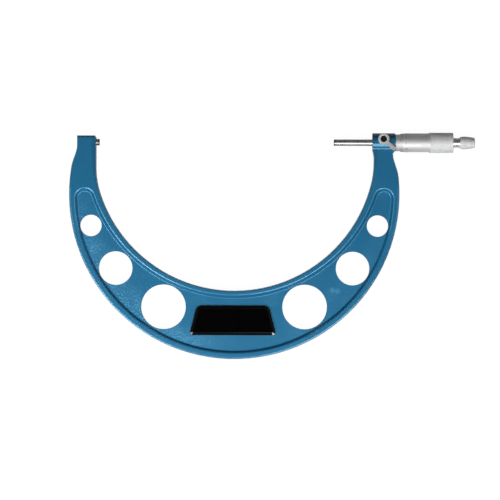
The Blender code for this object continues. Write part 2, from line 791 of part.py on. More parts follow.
def tooth_stations(shift):
    """Stations round a saw-toothed face, as (angle, share of the tooth height).

    The slopes let the knob slip as it turns the spindle in. The steep sides drive it back out.
    """
    pitch = 2 * math.pi / TOOTH_COUNT
    for tooth in range(TOOTH_COUNT):
        start = tooth * pitch + shift
        yield start, 1.0
        yield start + TOOTH_SLOPE / 2 * pitch, 0.5
        yield start + TOOTH_SLOPE * pitch, 0.0


def toothed_ring(flat_x, root_x, inner, outer, shift):
    """A ring with a flat face at flat_x and saw teeth that rise along +X from root_x."""

    def make(bm):
        stations = list(tooth_stations(shift))
        rings = []
        for radius, toothed in ((inner, False), (outer, False), (outer, True), (inner, True)):
            ring = []
            for angle, share in stations:
                x = root_x + share * TOOTH_HEIGHT if toothed else flat_x
                ring.append(bm.verts.new((x, radius * math.cos(angle), radius * math.sin(angle))))
            rings.append(ring)
        count = len(stations)
        for k in range(4):
            first, second = rings[k], rings[(k + 1) % 4]
            for i in range(count):
                j = (i + 1) % count
                bm.faces.new((first[i], first[j], second[j], second[i]))

    return make


def make_ratchet_claw(steel, pivot):
    """The sprung claw ring: it slides on the shaft's flats and can't turn on it."""
    claw = new_object(
        "ratchet_claw",
        toothed_ring(CLAW_FRONT, CLAW_BACK, SHAFT_FLAT / 2, CLAW_RADIUS, 0.0),
        steel,
        pivot,
    )
    way = rod_along_x(FLANGE_BACK, JOURNAL_BACK, SHAFT_RADIUS + RUNNING_FIT, SEGMENTS)
    bore = new_cutter("claw_bore_cutter", way)
    combine(bore, flats_cutter("claw_flat_cutter", SHAFT_FLAT + RUNNING_FIT), "DIFFERENCE")
    combine(claw, bore, "DIFFERENCE")


def make_ratchet_crown(steel, pivot):
    """The toothed ring pressed into the knob, in mesh with the claw ring."""
    inner = SHAFT_RADIUS + CROWN_CLEARANCE
    crown = toothed_ring(
        CROWN_BACK, CLAW_BACK + TOOTH_GAP, inner, KNOB_BORE - PRESS_FIT, -TOOTH_BACKLASH
    )
    new_object("ratchet_crown", crown, steel, pivot)


def make_ratchet_spring(steel, pivot):
    """A coil spring between the flange and the claw ring."""
    around, sides = 14, 6
    front = FLANGE_BACK + SEAT_GAP / 2 + SPRING_WIRE
    back = CLAW_FRONT - SEAT_GAP / 2 - SPRING_WIRE
    steps = math.ceil(SPRING_TURNS * around)

    def ring(step):
        share = step / steps
        turn = 2 * math.pi * SPRING_TURNS * share
        out = Vector((0, math.cos(turn), math.sin(turn)))
        along = Vector((1, 0, 0))
        centre = out * SPRING_RADIUS + along * (front + (back - front) * share)
        angles = [2 * math.pi * k / sides for k in range(sides)]
        return [centre + SPRING_WIRE * (math.cos(a) * out + math.sin(a) * along) for a in angles]

    new_object(
        "ratchet_spring", lambda bm: loft(bm, [ring(s) for s in range(steps + 1)]), steel, pivot
    )


def make_ratchet_knob(chrome, pivot):
    """The barrel knob: collar, crowned grip, tooth ring seat and a well for the cap screw."""
    grip_front = KNOB_FRONT + KNOB_COLLAR_LENGTH
    bulge = KNOB_FRONT + KNOB_BULGE_AT
    back = KNOB_FRONT + KNOB_LENGTH
    journal = JOURNAL_RADIUS + RUNNING_FIT
    well = CAP_HEAD_RADIUS + KNOB_WELL_CLEARANCE

    first = grip_front + EDGE_BREAK
    last = back - KNOB_TAIL_EDGE

    def grip_radius(x):
        if x < bulge:
            share = (bulge - x) / (bulge - first)
            return KNOB_RADIUS - (KNOB_RADIUS - KNOB_FRONT_RADIUS) * share**2
        share = (x - bulge) / (last - bulge)
        return KNOB_RADIUS - (KNOB_RADIUS - KNOB_TAIL_RADIUS) * share**1.6

    stations = [first + (last - first) * i / GRIP_STEPS for i in range(GRIP_STEPS + 1)]
    profile = (
        [(KNOB_FRONT, KNOB_BORE), (KNOB_FRONT, FLANGE_RADIUS), (grip_front, FLANGE_RADIUS)]
        + [(x, grip_radius(x)) for x in stations]
        + [
            (back, KNOB_TAIL_RADIUS - KNOB_TAIL_EDGE),
            (back, well),
            (KNOB_WALL_BACK, well),
            (KNOB_WALL_BACK, journal),
            (KNOB_WALL_FRONT, journal),
            (KNOB_WALL_FRONT, KNOB_BORE),
        ]
    )
    new_object("ratchet_knob", turned(profile, FINE_SEGMENTS), chrome, pivot)


def make_ratchet_cap_screw(steel, pivot):
    """The slotted screw in the end of the shaft, whose head keeps the knob on."""
    head_front = JOURNAL_BACK + CLOSE_GAP
    head_back = head_front + CAP_HEAD_LENGTH
    shank_front = JOURNAL_BACK - CAP_SHANK_LENGTH
    profile = [
        (shank_front, 0),
        (shank_front, CAP_SHANK_RADIUS),
        (head_front, CAP_SHANK_RADIUS),
        (head_front, CAP_HEAD_RADIUS),
        (head_back - EDGE_BREAK, CAP_HEAD_RADIUS),
        (head_back, CAP_HEAD_RADIUS - EDGE_BREAK),
        (head_back, 0),
    ]
    screw = new_object("ratchet_cap_screw", turned(profile, SEGMENTS), steel, pivot)
    half = CAP_SLOT_WIDTH / 2
    reach = 2 * CAP_HEAD_RADIUS
    slot = block((head_back - CAP_SLOT_DEPTH, -reach, -half), (head_back + reach, reach, half))
    combine(screw, new_cutter("cap_slot_cutter", slot), "DIFFERENCE")


def make_lock_pin(steel, at):
    """The cross pin above the spindle, with a hollow that clamps the spindle when it is drawn up."""
    pin = new_object(
        "lock_pin", rod_along_z(-LOCK_PIN_HALF, LOCK_PIN_HALF, LOCK_PIN_RADIUS, SEGMENTS), steel, None, at
    )
    hollow = rod_along_x(
        BOSS_FRONT, BOSS_BACK, SPINDLE_RADIUS + LOCK_PIN_CLEARANCE, FINE_SEGMENTS
    )
    combine(pin, new_cutter("lock_hollow_cutter", hollow), "DIFFERENCE")
    depth = LOCK_SCREW_DEPTH + SEAT_GAP
    tapped = rod_along_z(
        LOCK_PIN_HALF - depth, LOCK_PIN_HALF + depth, LOCK_SCREW_RADIUS + PRESS_FIT, SMALL_SEGMENTS
    )
    combine(pin, new_cutter("lock_tap_cutter", tapped, at), "DIFFERENCE")


def make_lock_screw(steel, pivot, at):
    """The socket screw that the lever turns."""
    top = LEVER_TOP - SEAT_GAP
    rings = [
        (LOCK_PIN_HALF - LOCK_SCREW_DEPTH, LOCK_SCREW_RADIUS),
        (LOCK_HEAD_BASE, LOCK_SCREW_RADIUS),
        (LOCK_HEAD_BASE, LOCK_HEAD_RADIUS),
        (top - EDGE_BREAK, LOCK_HEAD_RADIUS),
        (top, LOCK_HEAD_RADIUS - EDGE_BREAK),
    ]

    def make(bm):
        steps = [2 * math.pi * i / SEGMENTS for i in range(SEGMENTS)]
        loft(bm, [[(*polar((0, 0), radius, a), z) for a in steps] for z, radius in rings])

    screw = new_object("lock_screw", make, steel, pivot, at)
    corner = LOCK_SOCKET_FLAT / math.cos(math.pi / 6)
    socket = rod_along_z(top - LOCK_SOCKET_DEPTH, top + LOCK_SOCKET_DEPTH, corner, 6)
    combine(screw, new_cutter("socket_cutter", socket, at), "DIFFERENCE")


def make_lock_washer(steel, at):
    washer = new_object(
        "lock_washer",
        rod_along_z(WASHER_TOP - WASHER_THICKNESS, WASHER_TOP, WASHER_RADIUS, SEGMENTS),
        steel,
        None,
        at,
    )
    hole = rod_along_z(-WASHER_TOP, 2 * WASHER_TOP, LOCK_BORE, SEGMENTS)
    combine(washer, new_cutter("washer_hole_cutter", hole, at), "DIFFERENCE")


def lever_arm_ring(distance, half_width, low, high):
    """One section across the lever's arm, a block with its upper edges eased."""
    ease = 0.3 * (high - low)
    section = [
        (-half_width, low),
        (half_width, low),
        (half_width, high - ease),
        (half_width - ease, high),
        (-half_width + ease, high),
        (-half_width, high - ease),
    ]
    return [(distance, across, z) for across, z in section]


def make_lock_lever(chrome, pivot, at):
    """The lever: a ring round the screw head, and an arm that rises a little to a round tip."""
    low = LEVER_BASE + TUCK
    high = LEVER_TOP - LEVER_EDGE
    straight_end = LEVER_REACH - LEVER_HALF_WIDTH

    def make_arm(bm):
        rings = [
            lever_arm_ring(0.6 * LEVER_HUB_RADIUS, LEVER_NECK_HALF_WIDTH, low, high),
            lever_arm_ring(1.2 * LEVER_HUB_RADIUS, LEVER_NECK_HALF_WIDTH, low, high),
            lever_arm_ring(straight_end, LEVER_HALF_WIDTH, low + LEVER_TIP_RISE, high + LEVER_TIP_RISE),
        ]
        for degrees in (30, 55, 75):
            angle = math.radians(degrees)
            reach = straight_end + LEVER_HALF_WIDTH * math.sin(angle)
            half = LEVER_HALF_WIDTH * math.cos(angle)
            rings.append(lever_arm_ring(reach, half, low + LEVER_TIP_RISE, high + LEVER_TIP_RISE))
        loft(bm, rings)

    def make_hub(bm):
        steps = [2 * math.pi * i / SEGMENTS for i in range(SEGMENTS)]
        rings = [
            (LEVER_BASE, LEVER_HUB_RADIUS),
            (LEVER_TOP - LEVER_EDGE, LEVER_HUB_RADIUS),
            (LEVER_TOP, LEVER_HUB_RADIUS - LEVER_EDGE),
        ]
        loft(bm, [[(*polar((0, 0), radius, a), z) for a in steps] for z, radius in rings])

    lever = new_object("lock_lever", make_hub, chrome, pivot, at)
    arm = new_cutter("lever_arm_stock", make_arm, at)
    arm.rotation_euler.z = math.radians(LEVER_ANGLE)
    combine(lever, arm, "UNION")
    well = rod_along_z(
        LEVER_BASE + LEVER_FLOOR, 2 * LEVER_TOP, LOCK_HEAD_RADIUS + LEVER_WELL_CLEARANCE, SEGMENTS
    )
    combine(lever, new_cutter("lever_well_cutter", well, at), "DIFFERENCE")
    way = rod_along_z(0, 2 * LEVER_TOP, LOCK_SCREW_RADIUS + RUNNING_FIT, SMALL_SEGMENTS)
    combine(lever, new_cutter("lever_hole_cutter", way, at), "DIFFERENCE")


def rounded(corners, steps):
    """A closed outline whose corners, given as (x, y, radius), are turned into arcs."""
    points = []
    for i, (x, y, radius) in enumerate(corners):
        here = Vector((x, y))
        before = (Vector(corners[i - 1][:2]) - here).normalized()
        after = (Vector(corners[(i + 1) % len(corners)][:2]) - here).normalized()
        half = before.angle(after) / 2
        centre = here + (before + after).normalized() * radius / math.sin(half)
        start = here + before * radius / math.tan(half) - centre
        sweep = math.copysign(math.pi - 2 * half, before.cross(after))
        for k in range(steps + 1):
            points.append(centre + rotated(start, -sweep * k / steps))
    return [(p.x, p.y) for p in points]


def rotated(vector, angle):
    cosine, sine = math.cos(angle), math.sin(angle)
    return Vector((vector.x * cosine - vector.y * sine, vector.x * sine + vector.y * cosine))


def plate_ring(inset, height, side):
    """The trapezoid outline of a plate, moved in by inset, with rounded corners.

    The photo shows the plate set a little to the left of the bow's middle.
    """
    across = MIDDLE - PLATE_SHIFT
    middle = -THROAT_DROP - THROAT_RADIUS - BOW_DEPTH / 2 + PLATE_RISE
    lean = (PLATE_BOTTOM_WIDTH - PLATE_TOP_WIDTH) / 2 / PLATE_HEIGHT
    narrowing = inset * math.hypot(1, lean)
    top = PLATE_TOP_WIDTH / 2 + inset * lean - narrowing
    bottom = PLATE_BOTTOM_WIDTH / 2 - inset * lean - narrowing
    reach = PLATE_HEIGHT / 2 - inset
    at_top = max(PLATE_TOP_CORNER - inset, PLATE_LEAST_CORNER)
    at_bottom = max(PLATE_BOTTOM_CORNER - inset, PLATE_LEAST_CORNER)
    corners = [
        (across - bottom, middle - reach, at_bottom),
        (across + bottom, middle - reach, at_bottom),
        (across + top, middle + reach, at_top),
        (across - top, middle + reach, at_top),
    ]
    return [(x, y, side * height) for x, y in rounded(corners, CORNER_STEPS)]


def make_plate(name, side, black):
    """An insulating plate with a wide bevel round its flat middle."""
    low = HALF_WEB + CLOSE_GAP
    high = low + PLATE_THICKNESS
    shoulder = high - PLATE_BEVEL_HEIGHT
    levels = [(0, low), (0, shoulder), (PLATE_BEVEL_WIDTH, high)]
    new_object(
        name, lambda bm: loft(bm, [plate_ring(inset, z, side) for inset, z in levels]), black
    )


def main():
    clear_scene()
    enamel = material("blue_enamel", (50, 115, 155), 0.35, 0.0)
    chrome = material("satin_chrome", (200, 202, 204), 0.38, 1.0)
    steel = material("ground_steel", (190, 190, 192), 0.22, 1.0)
    carbide = material("carbide", (120, 122, 126), 0.18, 1.0)
    black_steel = material("black_steel", (30, 30, 32), 0.40, 0.7)
    black = material("gloss_black", (8, 8, 9), 0.15, 0.0)

    spindle_axis = new_pivot("spindle_axis", (THIMBLE_FRONT, 0, 0))
    ratchet_axis = new_pivot("ratchet_axis", (KNOB_FRONT, 0, 0))
    lock_at = (LOCK_X, LOCK_ABOVE, 0)
    lock_axis = new_pivot("lock_axis", lock_at)

    make_frame(enamel)
    make_anvil(steel, carbide)
    make_plate("front_plate", 1, black)
    make_plate("rear_plate", -1, black)
    make_inner_sleeve(steel)
    make_adjusting_nut(black_steel)
    make_graduated_sleeve(chrome)

    new_object("spindle_tip", carbide_face(LOWEST_READING, 1), carbide, spindle_axis)
    make_spindle(steel, spindle_axis)
    make_thimble(chrome, spindle_axis)
    make_ratchet_screw(steel, spindle_axis)
    make_ratchet_spring(steel, spindle_axis)
    make_ratchet_cap_screw(steel, spindle_axis)
    make_ratchet_claw(steel, spindle_axis)
    make_ratchet_crown(steel, ratchet_axis)
    make_ratchet_knob(chrome, ratchet_axis)

    make_lock_pin(steel, lock_at)
    make_lock_washer(black_steel, lock_at)
    make_lock_screw(black_steel, lock_axis, lock_at)
    make_lock_lever(chrome, lock_axis, lock_at)


main()
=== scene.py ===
"""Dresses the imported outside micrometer: enamelled bow, scales, knurls, sleeves, plates and lock."""

import json
import math

import bpy
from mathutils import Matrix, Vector

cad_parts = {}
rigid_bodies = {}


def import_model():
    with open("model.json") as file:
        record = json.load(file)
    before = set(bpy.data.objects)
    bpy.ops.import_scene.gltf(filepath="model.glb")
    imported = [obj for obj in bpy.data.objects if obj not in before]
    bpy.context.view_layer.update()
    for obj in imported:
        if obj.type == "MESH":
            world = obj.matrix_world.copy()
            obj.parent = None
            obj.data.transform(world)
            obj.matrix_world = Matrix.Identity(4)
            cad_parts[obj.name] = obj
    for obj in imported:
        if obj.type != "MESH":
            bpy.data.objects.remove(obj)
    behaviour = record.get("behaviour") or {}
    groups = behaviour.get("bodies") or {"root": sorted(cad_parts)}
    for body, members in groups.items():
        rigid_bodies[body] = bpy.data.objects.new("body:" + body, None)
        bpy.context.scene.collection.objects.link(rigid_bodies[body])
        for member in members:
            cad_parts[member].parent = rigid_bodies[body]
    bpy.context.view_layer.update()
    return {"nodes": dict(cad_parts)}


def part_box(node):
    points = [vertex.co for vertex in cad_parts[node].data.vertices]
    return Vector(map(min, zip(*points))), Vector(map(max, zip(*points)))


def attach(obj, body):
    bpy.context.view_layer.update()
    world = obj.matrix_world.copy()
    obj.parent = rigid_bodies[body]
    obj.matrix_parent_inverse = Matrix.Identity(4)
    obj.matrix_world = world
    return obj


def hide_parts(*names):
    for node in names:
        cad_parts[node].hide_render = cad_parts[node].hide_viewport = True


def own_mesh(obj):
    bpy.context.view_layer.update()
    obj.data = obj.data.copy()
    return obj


bl_info = {
    "name": "Outside Micrometer",
    "version": (1, 0, 0),
    "blender": (4, 5, 0),
    "location": "View3D > Sidebar > Micrometer",
    "description": "Dresses the frame of a large outside micrometer",
    "category": "Add Mesh",
}

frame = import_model()

SCALE_TURN = math.radians(-6.0)
VIEW_CENTRE = Vector((0.14471, -0.10337, 0.0))
VIEW_WIDTH = 0.48077
VIEW_DISTANCE = 3.4
VIEW_TURN = math.radians(0.13)
FRAME_THICKNESS = 0.014
SAME_HEIGHT = 2e-5
FLAT_TILT = 0.999
THROAT_CENTRE = (0.1295, -0.0072)
THROAT_EDGE = (0.1376, 0.1362)
BOW_CENTRE = (0.1295, -0.0495)
TROUGH_RADIUS = 0.1516
TROUGH_WIDTH = 0.0011
# Painted highlight: two small glare spots painted pale on the web.
GLARE_SPOTS = ((0.2290, -0.1428), (0.2240, -0.1418))
GLARE_REACH = 0.0040
GLARE_CORE = 0.0010
LEVER_STEEL = (0.62, 0.625, 0.64)
MAIN_STEP = 0.0005
FINE_STEP = math.radians(7.2)
FONT_FOR_HEIGHT = 1.35
RESTING_SPAN = 0.362
RESTING_WAY = (-0.894, -0.447)
FLOOR_SEEN = 0.93
FLOOR_OFF_METAL = 0.55
FLOOR_OFF_ENAMEL = 0.08
WORLD_OFF_METAL = 0.35
WORLD_FILL = 0.04
CLOTH_START = 0.0135
CLOTH_REACH = 1.5
CLOTH_END = 18.0


def length(label, words, value):
    """A size that a user may change, in metres."""
    return bpy.props.FloatProperty(
        name=label, description=words, default=value, min=0.0, precision=5, unit="LENGTH"
    )


def colour(label, words, value):
    return bpy.props.FloatVectorProperty(
        name=label, description=words, default=value, size=3, min=0.0, max=1.0, subtype="COLOR"
    )


class MicrometerSizes(bpy.types.PropertyGroup):
    casting_edge: length("Casting edge", "Round on the casting's small edges", 0.00018)
    machined_edge: length("Machined edge", "Round on the turned and milled edges", 0.00012)
    lip_round: length("Lip round", "Round on the lip of each recess", 0.0013)
    foot_round: length("Foot round", "Fillet where a recess's wall meets the web", 0.0009)
    skin_grain: length("Skin grain", "Size of the dimples in the enamel", 0.0018)
    thimble_radius: length("Thimble radius", "Outside of the thimble ahead of the band", 0.0091)
    thimble_bevel: length("Thimble bevel", "Length of the bevel that carries the fine scale", 0.0044)
    thimble_bore: length("Thimble bore", "Inside radius of the thimble", 0.00818)
    thimble_lip: length("Thimble lip", "Wall of the thimble at its front edge", 0.0004)
    band_length: length("Band length", "Length of the knurled band", 0.0225)
    band_knurl: length("Band knurl", "Pitch of the knurl on the band", 0.0008)
    band_relief: length("Band relief", "Depth of the knurl on the band", 0.00026)
    knob_collar: length("Knob collar", "Length of the plain collar of the ratchet knob", 0.0026)
    knob_collar_radius: length("Collar radius", "Radius of the ratchet knob's collar", 0.0048)
    knob_knurl: length("Knob knurl", "Pitch of the knurl on the ratchet knob", 0.00105)
    knob_relief: length("Knob relief", "Depth of the knurl on the ratchet knob", 0.00042)
    mark_width: length("Mark width", "Width of a graduation", 0.00013)
    mark_height: length("Mark height", "How far the ink stands out of the metal", 0.00002)
    numeral_size: length("Numeral size", "Height of the numbers on the scales", 0.0019)
    plate_bevel: length("Plate bevel", "Width of the bevel round the plates", 0.0026)
    plate_bevel_drop: length("Plate bevel drop", "Height of the bevel round the plates", 0.0008)
    plate_lean: length("Plate lean", "How much further out each lower corner of a plate is", 0.0072)


class MicrometerColours(bpy.types.PropertyGroup):
    enamel: colour("Enamel", "Main colour of the bow", (0.010, 0.132, 0.270))
    # Painted sheen: this pale blue colours the painted highlight lines, the glare spots and the lighter
    # lower left and bottom, and also the skin's pale flecks.
    enamel_light: colour("Light enamel", "Where the enamel lies thin", (0.085, 0.330, 0.560))
    chrome: colour("Satin chrome", "Thimble, sleeve, knob and lever", (0.635, 0.637, 0.640))
    steel: colour("Ground steel", "Spindle, anvil and ratchet shaft", (0.45, 0.445, 0.44))
    carbide: colour("Carbide", "Measuring faces", (0.20, 0.205, 0.215))
    black_oxide: colour("Black oxide", "Lock screw, washer and adjusting nut", (0.0022, 0.0022, 0.0025))
    plate: colour("Plate", "Insulating plates", (0.0012, 0.0011, 0.0010))
    ink: colour("Ink", "Graduations and numbers", (0.010, 0.010, 0.011))


def sizes():
    return bpy.context.scene.micrometer_sizes


def colours():
    return bpy.context.scene.micrometer_colours


# Objects and meshes


def select_only(piece):
    bpy.ops.object.select_all(action="DESELECT")
    piece.select_set(True)
    bpy.context.view_layer.objects.active = piece


def start_edit(piece):
    select_only(piece)
    bpy.ops.object.mode_set(mode="EDIT")
    bpy.ops.mesh.select_all(action="SELECT")


def end_edit():
    bpy.ops.object.mode_set(mode="OBJECT")


def place(piece):
    """Puts the object's place, turn and scale into its mesh."""
    select_only(piece)
    bpy.ops.object.transform_apply(location=True, rotation=True, scale=True)


def clean_up(piece, merge=1e-7):
    start_edit(piece)
    bpy.ops.mesh.remove_doubles(threshold=merge)
    bpy.ops.mesh.normals_make_consistent(inside=False)
    end_edit()


def copy_of(node, name):
    """A merged copy of a CAD node, free of its body, with its flat faces made whole again."""
    select_only(frame["nodes"][node])
    bpy.ops.object.duplicate()
    piece = bpy.context.active_object
    bpy.ops.object.parent_clear(type="CLEAR_KEEP_TRANSFORM")
    piece.name = name
    for key in list(piece.keys()):
        del piece[key]
    piece.data.materials.clear()
    if piece.data.has_custom_normals:
        bpy.ops.mesh.customdata_custom_splitnormals_clear()
    start_edit(piece)
    bpy.ops.mesh.remove_doubles(threshold=2e-7)
    bpy.ops.mesh.dissolve_limited(angle_limit=math.radians(0.3))
    end_edit()
    return piece


def soften(piece, width, limit=30.0, steps=2):
    """Rounds the sharp edges a little, and shades the faces between them smooth."""
    select_only(piece)
    bevel = piece.modifiers.new("Edge round", "BEVEL")
    bevel.width = width
    bevel.segments = steps
    bevel.limit_method = "ANGLE"
    bevel.angle_limit = math.radians(limit)
    bevel.miter_outer = "MITER_ARC"
    bpy.ops.object.modifier_apply(modifier=bevel.name)
    shade(piece, 60.0)


def shade(piece, angle):
    select_only(piece)
    bpy.ops.object.shade_smooth_by_angle(angle=math.radians(angle))
    weigh = piece.modifiers.new("Flat faces first", "WEIGHTED_NORMAL")
    weigh.keep_sharp = True
    weigh.weight = 80
    bpy.ops.object.modifier_apply(modifier=weigh.name)


def hand_over(piece, material, slot, body, *nodes):
    """Gives a finished piece its material and its body, and hides the CAD nodes that it stands for;
    slot is not used.
    """
    piece.data.materials.clear()
    piece.data.materials.append(material)
    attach(piece, body)
    if nodes:
        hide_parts(*nodes)


def carry(node, material):
    """Gives a CAD node that stays as it is its material."""
    mesh = frame["nodes"][node].data
    mesh.materials.clear()
    mesh.materials.append(material)


def turned(name, stations, sides, hollow=True):
    """A turned piece: a circle raised along X through (x, radius) stations."""
    bpy.ops.object.select_all(action="DESELECT")
    x, radius = stations[0]
    bpy.ops.mesh.primitive_circle_add(
        vertices=sides,
        radius=radius,
        fill_type="NOTHING" if hollow else "NGON",
        location=(x, 0, 0),
        rotation=(0, math.pi / 2, 0),
    )
    piece = bpy.context.active_object
    piece.name = name
    place(piece)
    start_edit(piece)
    track = stations + stations[:1] if hollow else stations
    for (x, radius), (next_x, next_radius) in zip(track, track[1:]):
        bpy.ops.mesh.extrude_region_move(TRANSFORM_OT_translate={"value": (next_x - x, 0, 0)})
        grow = next_radius / radius
        bpy.ops.transform.resize(value=(1, grow, grow), center_override=(next_x, 0, 0))
    end_edit()
    clean_up(piece)
    return piece


def knurl(piece, first, last, pitch, relief, count, fade):
    """Cuts a diamond knurl into the outside between first and last, by moving points in."""
    for vertex in piece.data.vertices:
        x, y, z = vertex.co
        if not first <= x <= last:
            continue
        around = math.atan2(z, y) / (2 * math.pi) * count
        along = (x - first) / pitch
        ridges = [2 * abs((value + 0.5) % 1 - 0.5) for value in (around + along, around - along)]
        ease = min(1.0, (x - first) / fade, (last - x) / fade)
        radius = math.hypot(y, z)
        scale = (radius - relief * ease * (1 - min(ridges))) / radius
        vertex.co.y = y * scale
        vertex.co.z = z * scale


# Scales


def bar(x, along, across, radius):
    """One graduation at the reader's side: a thin bar, bent round the cylinder and let into it."""
    proud = sizes().mark_height
    bpy.ops.object.select_all(action="DESELECT")
    bpy.ops.mesh.primitive_plane_add(size=1, location=(x + along / 2, 0, -proud))
    piece = bpy.context.active_object
    piece.scale = (along, across, 1)
    place(piece)
    start_edit(piece)
    if across > along:
        bpy.ops.mesh.subdivide(number_cuts=3)
    bpy.ops.mesh.extrude_region_move(TRANSFORM_OT_translate={"value": (0, 0, 2 * proud)})
    end_edit()
    wrap(piece, radius)
    return piece


def wrap(piece, radius, turn=0.0):
    """Bends a flat piece round the spindle's axis: Y runs round and Z out, both from the radius."""
    for vertex in piece.data.vertices:
        angle, lift = turn + vertex.co.y / radius, radius + vertex.co.z
        vertex.co.y, vertex.co.z = lift * math.sin(angle), lift * math.cos(angle)


def lean(piece, x, slope):
    """Tips a bar at the reader's side along a cone that widens by slope from x."""
    for vertex in piece.data.vertices:
        vertex.co.z += slope * (vertex.co.x - x)


def another(piece):
    select_only(piece)
    bpy.ops.object.duplicate()
    return bpy.context.active_object


def copy_along(piece, distance):
    """A copy of a graduation, that far along the scale."""
    copy = another(piece)
    bpy.ops.transform.translate(value=(distance, 0, 0))
    return copy


def copy_round(piece, turn):
    """A copy of a graduation, turned from the reader's side towards +Y."""
    copy = another(piece)
    bpy.ops.transform.rotate(value=turn, orient_axis="X", center_override=(0, 0, 0))
    return copy


def numeral(text, x, radius, turn, align="LEFT"):
    """A number that reads along X, cut into slices and wrapped on the cylinder at that turn."""
    tall = sizes().numeral_size
    bpy.ops.object.select_all(action="DESELECT")
    bpy.ops.object.text_add(location=(0, 0, 0))
    piece = bpy.context.active_object
    piece.data.body = text
    piece.data.size = tall * FONT_FOR_HEIGHT
    piece.data.align_x = align
    piece.data.align_y = "CENTER"
    piece.data.extrude = sizes().mark_height
    piece.data.resolution_u = 4
    bpy.ops.object.convert(target="MESH")
    piece = bpy.context.active_object
    for level in range(-3, 4):
        start_edit(piece)
        bpy.ops.mesh.bisect(plane_co=(0, level * tall / 7, 0), plane_no=(0, 1, 0))
        end_edit()
    wrap(piece, radius, turn)
    bpy.ops.transform.translate(value=(x, 0, 0))
    place(piece)
    return piece


def joined(pieces, name):
    select_only(pieces[0])
    for piece in pieces[1:]:
        piece.select_set(True)
    bpy.ops.object.join()
    whole = bpy.context.active_object
    whole.name = name
    place(whole)
    clean_up(whole, 1e-8)
    return whole


# Shared effects


def new_group(name, inputs, outputs):
    """An empty node group with (name, default) inputs and named outputs, and its two end nodes."""
    group = bpy.data.node_groups.new(name, "ShaderNodeTree")
    for label, value in inputs:
        socket = group.interface.new_socket(name=label, in_out="INPUT", socket_type="NodeSocketFloat")
        socket.default_value = value
    for label in outputs:
        group.interface.new_socket(name=label, in_out="OUTPUT", socket_type="NodeSocketFloat")
    return group, group.nodes.new("NodeGroupInput"), group.nodes.new("NodeGroupOutput")


def put(tree, value, socket):
    """Links another socket to this one, or sets it to a plain value."""
    if isinstance(value, bpy.types.NodeSocket):
        tree.links.new(value, socket)
    else:
        socket.default_value = value


def math_node(tree, operation, *values):
    node = tree.nodes.new("ShaderNodeMath")
    node.operation = operation
    for socket, value in zip(node.inputs, values):
        put(tree, value, socket)
    return node.outputs[0]


def times(tree, first, second):
    return math_node(tree, "MULTIPLY", first, second)


def larger(tree, first, second):
    return math_node(tree, "MAXIMUM", first, second)


def band(tree, value, low, high):
    """0 at low, 1 at high, and a smooth change between them, also where high is the smaller one."""
    node = tree.nodes.new("ShaderNodeMapRange")
    node.interpolation_type = "SMOOTHSTEP"
    node.inputs["From Min"].default_value = low
    node.inputs["From Max"].default_value = high
    tree.links.new(value, node.inputs["Value"])
    return node.outputs["Result"]


def noise(tree, vector, scale, detail, rough=0.5):
    node = tree.nodes.new("ShaderNodeTexNoise")
    node.inputs["Detail"].default_value = detail
    node.inputs["Roughness"].default_value = rough
    tree.links.new(vector, node.inputs["Vector"])
    put(tree, scale, node.inputs["Scale"])
    return node.outputs["Fac"]


def place_on(tree):
    return tree.nodes.new("ShaderNodeTexCoord").outputs["Object"]


def coordinates(tree):
    """The piece's own X, Y and Z."""
    split = tree.nodes.new("ShaderNodeSeparateXYZ")
    tree.links.new(place_on(tree), split.inputs[0])
    return split.outputs


def hammered_skin():
    """Sprayed enamel on a cast skin: dimples with finer ripples, and masks for flecks and broad
    patches.
    """
    group, start, end = new_group(
        "Hammered skin", [("Grain", 0.002), ("Ripple", 0.4)], ["Height", "Flecks", "Patches"]
    )
    where = place_on(group)
    density = math_node(group, "DIVIDE", 1.0, start.outputs["Grain"])
    cells = group.nodes.new("ShaderNodeTexVoronoi")
    cells.feature = "SMOOTH_F1"
    cells.inputs["Smoothness"].default_value = 0.7
    group.links.new(where, cells.inputs["Vector"])
    group.links.new(density, cells.inputs["Scale"])
    fine = noise(group, where, times(group, density, 1.6), 2.0)
    dimples = band(group, cells.outputs["Distance"], 0.05, 0.75)
    ripple = times(group, fine, start.outputs["Ripple"])
    patches = band(group, noise(group, where, 34.0, 3.0, 0.6), 0.48, 0.66)
    flecks = noise(group, where, times(group, density, 2.2), 1.0)
    group.links.new(math_node(group, "ADD", dimples, ripple), end.inputs["Height"])
    group.links.new(band(group, flecks, 0.50, 0.66), end.inputs["Flecks"])
    group.links.new(patches, end.inputs["Patches"])
    return group


def turning_lines():
    """The fine rings that a lathe or a cylindrical grinder leaves round a piece along X."""
    group, start, end = new_group("Turning lines", [("Pitch", 0.00006)], ["Lines", "Waves"])
    where = coordinates(group)
    round_the_piece = 60.0
    join = group.nodes.new("ShaderNodeCombineXYZ")
    group.links.new(math_node(group, "DIVIDE", where["X"], start.outputs["Pitch"]), join.inputs["X"])
    group.links.new(times(group, where["Y"], round_the_piece), join.inputs["Y"])
    group.links.new(times(group, where["Z"], round_the_piece), join.inputs["Z"])
    group.links.new(noise(group, join.outputs[0], 1.0, 2.0), end.inputs["Lines"])
    group.links.new(noise(group, join.outputs[0], 0.012, 1.0), end.inputs["Waves"])
    return group


def handling():
    """Smears and specks that hands and a workshop leave."""
    group, start, end = new_group("Handling", [("Size", 0.012)], ["Smears", "Specks"])
    where = place_on(group)
    density = math_node(group, "DIVIDE", 1.0, start.outputs["Size"])
    smears = noise(group, where, density, 4.0, 0.62)
    specks = noise(group, where, times(group, density, 30.0), 1.0)
    group.links.new(band(group, smears, 0.42, 0.70), end.inputs["Smears"])
    group.links.new(band(group, specks, 0.70, 0.80), end.inputs["Specks"])
    return group


def use(tree, maker, **values):
    """A shared effect in this tree, built the first time that it is wanted."""
    name = maker.__name__.replace("_", " ").capitalize()
    node = tree.nodes.new("ShaderNodeGroup")
    node.node_tree = bpy.data.node_groups.get(name) or maker()
    for label, value in values.items():
        node.inputs[label].default_value = value
    return node.outputs


# Materials


